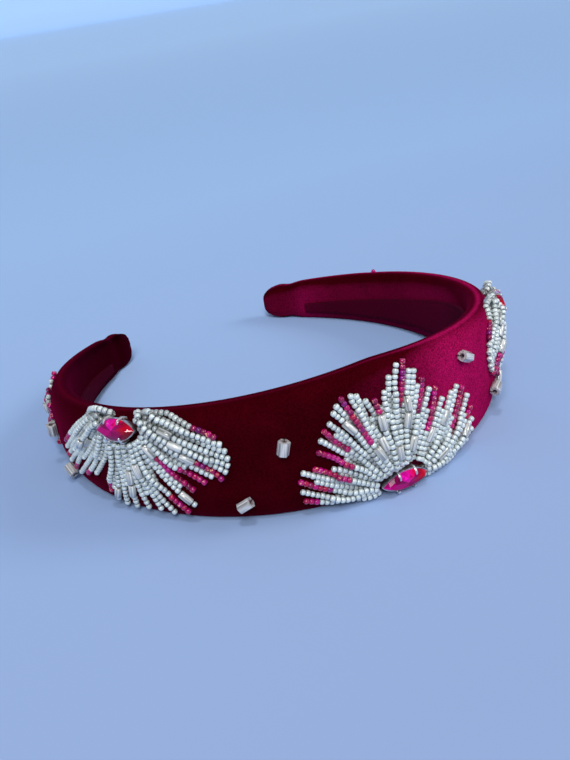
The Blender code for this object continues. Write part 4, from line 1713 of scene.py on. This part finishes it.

# %% [markdown]
# ## Three kinds of bead glass
# The white seed beads have a pearl lustre: milky, with a soft highlight under a clear coat.
# The pink ones are clear glass with a coloured film from fuchsia to violet: each bead takes its
# shade from its random number, and a fine noise paints glints of gold. The bugles are satin
# glass with painted streaks of reflected light along their length.

# %% Bead finishes
PEARL_DULL = (0.54, 0.62, 0.61, 1.0)
PEARL_BRIGHT = (0.79, 0.87, 0.86, 1.0)
PEARL_PAINTED_SHADE = (0.15, 0.15, 0.15, 1.0)
PEARL_CREVICE_SHADE = (0.08, 0.09, 0.09, 1.0)
FILM_STOPS = [
    (0.0, (0.16, 0.000, 0.045)), (0.35, (0.42, 0.000, 0.100)), (0.60, (0.52, 0.001, 0.21)),
    (0.80, (0.42, 0.000, 0.050)), (1.0, (0.22, 0.001, 0.18))]
FILM_RIM = (0.30, 0.002, 0.12, 1.0)
FILM_PAINTED_SHADE = (0.03, 0.000, 0.008, 1.0)
FILM_GLINT = (0.95, 0.45, 0.28, 1.0)
SATIN_DARK = (0.22, 0.23, 0.22, 1.0)
SATIN_BRIGHT = (0.90, 0.92, 0.89, 1.0)
SATIN_PAINTED_SHADE = (0.10, 0.10, 0.10, 1.0)
SATIN_HOLE = (0.30, 0.31, 0.30, 1.0)
STREAK_STRETCH = (1.0, 1.0, 0.08)


def near_hole(recipe, start, stop):
    """0 round the middle of a bead and 1 at the rims of its hole."""
    spot = recipe.axes(recipe.attribute("bead_spot", "Vector"))
    return recipe.stretched(recipe.maths("ABSOLUTE", spot[2]), start, stop)


def pearl_glass():
    """Lustred white seed beads, no two quite alike."""
    material, recipe, shader = finish("pearl_seed_beads", {
        "Coat Weight": 0.8, "Coat Roughness": 0.10, "Coat IOR": 1.6, "IOR": 1.9})
    shade = recipe.attribute("bead_shade")
    cloud = recipe.noise(recipe.object_place(), 900.0, 2.0)
    milk = recipe.blend(recipe.clamped(shade * 0.7 + cloud * 0.5 - 0.1), PEARL_DULL, PEARL_BRIGHT)
    # painted shade under the beads that lie above
    under = recipe.blend(recipe.attribute("bead_cover") * 0.75, milk, PEARL_PAINTED_SHADE)
    # painted shade in the crevices between beads, round the rims of the hole
    holed = recipe.blend(near_hole(recipe, 0.84, 1.0), under, PEARL_CREVICE_SHADE)
    recipe.feed(shader.inputs["Base Color"], holed)
    recipe.feed(shader.inputs["Roughness"], 0.24 + cloud * 0.12)
    return material


def film_glass():
    """Clear fuchsia beads with a film of changing colour."""
    material, recipe, shader = finish("fuchsia_seed_beads", {
        "Roughness": 0.20, "Coat Weight": 0.6, "Coat Roughness": 0.06, "Coat IOR": 1.5,
        "IOR": 1.4})
    shade = recipe.attribute("bead_shade")
    flash = recipe.noise(recipe.object_place(), 1300.0, 1.0)
    film = recipe.take("ShaderNodeValToRGB", {"stops": FILM_STOPS}, {"Fac": shade}, output="Color")
    body = recipe.blend(near_hole(recipe, 0.55, 0.95) * 0.35, film, FILM_RIM)
    # painted shade under the beads that lie above
    under = recipe.blend(recipe.attribute("bead_cover") * 0.7, body, FILM_PAINTED_SHADE)
    # painted glints of gold from a fine noise
    glint = recipe.blend(recipe.stretched(flash, 0.66, 0.74), under, FILM_GLINT)
    recipe.feed(shader.inputs["Base Color"], glint)
    return material


def satin_glass():
    """Silvery satin bugles, with painted streaks of reflection along their length."""
    material, recipe, shader = finish("satin_bugles", {
        "Coat Weight": 1.0, "Coat Roughness": 0.05, "Coat IOR": 1.7, "IOR": 1.5})
    shade = recipe.attribute("bead_shade")
    streak = recipe.take("ShaderNodeTexNoise", {"noise_dimensions": "4D"}, {
        "Vector": recipe.scaled(recipe.attribute("bead_spot", "Vector"), STREAK_STRETCH),
        "W": shade * 9.0, "Scale": 2.6, "Detail": 2.0, "Roughness": 0.6})
    # painted reflection: bright and dark streaks along the bugle
    share = recipe.stretched(streak, 0.36, 0.66)
    glass = recipe.blend(share, SATIN_DARK, SATIN_BRIGHT)
    # painted shade under the beads that lie above
    under = recipe.blend(recipe.attribute("bead_cover") * 0.6, glass, SATIN_PAINTED_SHADE)
    holed = recipe.blend(near_hole(recipe, 0.86, 1.0) * 0.6, under, SATIN_HOLE)
    recipe.feed(shader.inputs["Base Color"], holed)
    recipe.feed(shader.inputs["Roughness"], 0.08 + share * 0.16)
    return material


BEADS = (
    # piece, kind, length, width, hole, shoulder, sides, unevenness, slot
    ("pearl_beads", PEARL, 0.00142, 0.00176, 0.00016, 1.12, 9, 0.05, "pearl_beads"),
    ("fuchsia_beads", PINK, 0.00148, 0.00180, 0.00040, 1.08, 9, 0.06, None),
    ("satin_bugles", BUGLE, 0.00430, 0.00230, 0.00100, 0.30, 9, 0.03, "clear_glass"),
)
FIRST_BEAD_SEED = 3
bead_finishes = {"pearl_beads": pearl_glass(), "fuchsia_beads": film_glass(),
                 "satin_bugles": satin_glass()}
print("bead finishes:", sorted(bead_finishes))

# %% Grow the beads of every motif


def grow_beads():
    """Pearl, pink and bugle beads of each motif, one mesh each, in place of its wings."""
    total = 0
    for motif in motifs:
        for label, kind, length, width, hole, shoulder, sides, unevenness, slot in BEADS:
            piece = grow(label + "_" + motif.name, threads[motif.name].copy(), bead_maker, {
                "Kind": kind, "Bead length": length, "Bead width": width, "Hole": hole,
                "Shoulder": shoulder, "Sides": sides, "Unevenness": unevenness,
                "Seed": FIRST_BEAD_SEED + kind, "Finish": bead_finishes[label]})
            keep(piece, slot, *motif.wings())
            total += len(piece.data.polygons)
    return total


print("bead faces:", grow_beads())

# %% [markdown]
# ## The thread itself
# Between the last bead and the velvet, and in the small gaps between beads, the white thread
# shows. A second, simpler tree gives each thread a round section. Both ends of each thread go
# down into the velvet, because that is where it is sewn.

# %% Threads of the strands
THREAD_WIDTH = 0.00022
THREAD_SIDES = 4
THREAD_DEPTH = 0.0006


def thread_tree():
    """A round thread along a path."""
    recipe, given, result = new_tree("round thread", {
        "Thread width": "Float", "Finish": "Material"})
    curve = recipe.take("GeometryNodeMeshToCurve", {}, {"Mesh": given["Geometry"]})
    section = recipe.take("GeometryNodeCurvePrimitiveCircle", {}, {
        "Resolution": THREAD_SIDES, "Radius": given["Thread width"] / 2})
    tube = recipe.take("GeometryNodeCurveToMesh", {}, {
        "Curve": curve, "Profile Curve": section, "Fill Caps": True})
    return close_tree(recipe, result, tube, given["Finish"])


def sewn_paths(motif):
    """The settled threads of a motif, each with both ends led down into the velvet."""
    places, _, spans = strung[motif.name]
    for start, stop in spans:
        beads = [on_velvet(motif, place) for place in places[start:stop]]
        root, tip = (on_velvet(motif, places[index] * (1, 1, 0) - (0, 0, THREAD_DEPTH))
                     for index in (start, stop - 1))
        yield [root, *beads, tip]


round_thread = thread_tree()
white_thread = sewing_thread("white_thread", (0.45, 0.47, 0.5, 1), (0.85, 0.86, 0.88, 1), 0.1)
for motif in motifs:
    sewn = thread_mesh("sewn", sewn_paths(motif))
    piece = grow("bead_threads_" + motif.name, sewn, round_thread,
                 {"Thread width": THREAD_WIDTH, "Finish": white_thread})
    keep(piece, None, *motif.wings())
print("thread pieces:", len(motifs))

# %% [markdown]
# ## Single tube beads
# Between the motifs single six-sided tubes are sewn on, short and wide, with a hole that can
# be seen. Six sides need hard edges with a small round, so they are built from rings and
# bevelled rather than taken from the seed bead's tree. Clear glass of this size shows bright
# and dark streaks along its length and the shadow of its hole. Those are painted as a pattern,
# and a little of the light is really let through. A stitch through each hole holds it down.

# %% Tube beads and their threads
TUBE_LENGTH = 0.0040
TUBE_DIAMETER = 0.0034
TUBE_HOLE = 0.0013
TUBE_SIDES = 6
HOLE_SIDES = 2 * TUBE_SIDES
HOLE_SUNK = 0.98
BEVEL_LEAST = 0.0008
BEVEL_WIDTH = 0.00022
GLASS_DARK = (0.20, 0.20, 0.21, 1.0)
GLASS_BRIGHT = (0.82, 0.81, 0.81, 1.0)
GLASS_END = (0.45, 0.44, 0.45, 1.0)
GLASS_HOLE_SHADOW = (0.30, 0.25, 0.26, 1.0)
RIB_STRETCH = (0.06, 1.0, 1.0)
SHARP_GLASS = math.radians(24)


def ring_of_corners(shape, x, radius, sides):
    """Corners round the tube's axis, at one distance along it."""
    return [shape.verts.new((x, radius * math.cos(2 * math.pi * n / sides),
                             radius * math.sin(2 * math.pi * n / sides))) for n in range(sides)]


def tube_pattern():
    """A short six-sided tube with a round hole along X."""
    shape = bmesh.new()
    ends = []
    for end in (-0.5, 0.5):
        outer = ring_of_corners(shape, end * TUBE_LENGTH, TUBE_DIAMETER / 2, TUBE_SIDES)
        inner = ring_of_corners(shape, end * TUBE_LENGTH * HOLE_SUNK, TUBE_HOLE / 2, HOLE_SIDES)
        ends.append((outer, inner))
    for n in range(TUBE_SIDES):
        beside = (n + 1) % TUBE_SIDES
        shape.faces.new((ends[0][0][n], ends[1][0][n], ends[1][0][beside], ends[0][0][beside]))
        for outer, inner in ends:
            shape.faces.new((outer[n], inner[2 * n], inner[2 * n + 1], outer[beside]))
            shape.faces.new((outer[beside], inner[2 * n + 1], inner[(2 * n + 2) % HOLE_SIDES]))
    for n in range(HOLE_SIDES):
        beside = (n + 1) % HOLE_SIDES
        shape.faces.new((ends[0][1][n], ends[0][1][beside], ends[1][1][beside], ends[1][1][n]))
    bmesh.ops.recalc_face_normals(shape, faces=shape.faces)
    rims = [edge for edge in shape.edges if edge.calc_length() > BEVEL_LEAST
            and all(corner.co.yz.length > TUBE_HOLE for corner in edge.verts)]
    bmesh.ops.bevel(shape, geom=rims, offset=BEVEL_WIDTH, segments=2, profile=0.6, affect="EDGES")
    mesh = bpy.data.meshes.new("tube_pattern")
    shape.to_mesh(mesh)
    shape.free()
    return mesh


def clear_glass():
    """Clear glass, with painted streaks of light along its length and the painted shadow of its
    hole.
    """
    material, recipe, shader = finish("clear_tube_glass", {
        "Transmission Weight": 0.12, "IOR": 1.52, "Coat Weight": 1.0, "Coat Roughness": 0.04})
    own = recipe.attribute("tube_place", "Vector")
    x, y, z = recipe.axes(own)
    rib = recipe.noise(recipe.scaled(own, RIB_STRETCH), 2300.0, 2.0, 0.6)
    away = recipe.maths("SQRT", y * y + z * z)
    hole = 1 - recipe.stretched(away, TUBE_HOLE * 0.52, TUBE_HOLE * 0.68)
    end = recipe.stretched(recipe.maths("ABSOLUTE", x), TUBE_LENGTH * 0.44, TUBE_LENGTH * 0.49)
    clear = recipe.blend(recipe.stretched(rib, 0.38, 0.62), GLASS_DARK, GLASS_BRIGHT)
    ends = recipe.blend(end * 0.45, clear, GLASS_END)
    recipe.feed(shader.inputs["Base Color"], recipe.blend(hole, ends, GLASS_HOLE_SHADOW))
    recipe.feed(shader.inputs["Roughness"], 0.08 + rib * 0.16)
    return material


def tube_stitch(flat):
    """A stitch from the velvet through a tube and back down, as seen from the tube's middle."""
    half = TUBE_LENGTH / 2
    way_in = ((half + 0.0001, -flat - 0.0008), (half + 0.0002, -0.0008), (half - 0.0003, -0.0002))
    return ([Vector((-x, 0, z)) for x, z in way_in]
            + [Vector((x, 0, z)) for x, z in reversed(way_in)])


def sew_tubes():
    """All tube beads in one mesh, and the stitch that holds each."""
    shape = bmesh.new()
    pattern = tube_pattern()
    paths = []
    flat = TUBE_DIAMETER / 2 * math.cos(math.pi / TUBE_SIDES)
    for place, up, turn in TUBE_BEADS:
        point, tangent, normal = face_frame(place * MOTIF_SPACING, up)
        stand = (placed(point + normal * (GAP + flat), tangent, normal.cross(tangent), normal)
                 @ Matrix.Rotation(math.radians(turn), 4, "Z"))
        copy = pattern.copy()
        copy.transform(stand)
        shape.from_mesh(copy)
        paths.append([stand @ spot for spot in tube_stitch(flat)])
    mesh = bpy.data.meshes.new("clear_tube_beads")
    shape.to_mesh(mesh)
    shape.free()
    own = mesh.attributes.new("tube_place", "FLOAT_VECTOR", "POINT")
    own.data.foreach_set("vector", np.tile(coordinates(pattern), (len(TUBE_BEADS), 1)).ravel())
    mesh.shade_smooth()
    mesh.set_sharp_from_angle(angle=SHARP_GLASS)
    mesh.materials.append(clear_glass())
    return add_object("clear_tube_beads", mesh), paths


tube_nodes = ["tube_bead_" + str(number) for number in range(1, len(TUBE_BEADS) + 1)]
clear_tubes, tube_paths = sew_tubes()
keep(clear_tubes, "clear_glass", *tube_nodes)
tube_threads = grow("tube_threads", thread_mesh("tube_paths", tube_paths), round_thread,
                    {"Thread width": THREAD_WIDTH, "Finish": burgundy_thread})
keep(tube_threads, None, *tube_nodes)
print("tube bead faces:", len(clear_tubes.data.polygons))

# %% [markdown]
# ## The box of the result
# The dressed headband has to fill the same box as the solids. Its box is printed here, to be
# read against the box of the solids printed at the start, and the last line prints the pieces and
# faces.

# %% Print the dressed box and the pieces
dressed_low, dressed_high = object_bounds()
print("dressed box in mm:", in_mm(dressed_high - dressed_low))
faces = {piece.name: len(piece.data.polygons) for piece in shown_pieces()}
print("pieces:", len(faces), "faces:", sum(faces.values()))
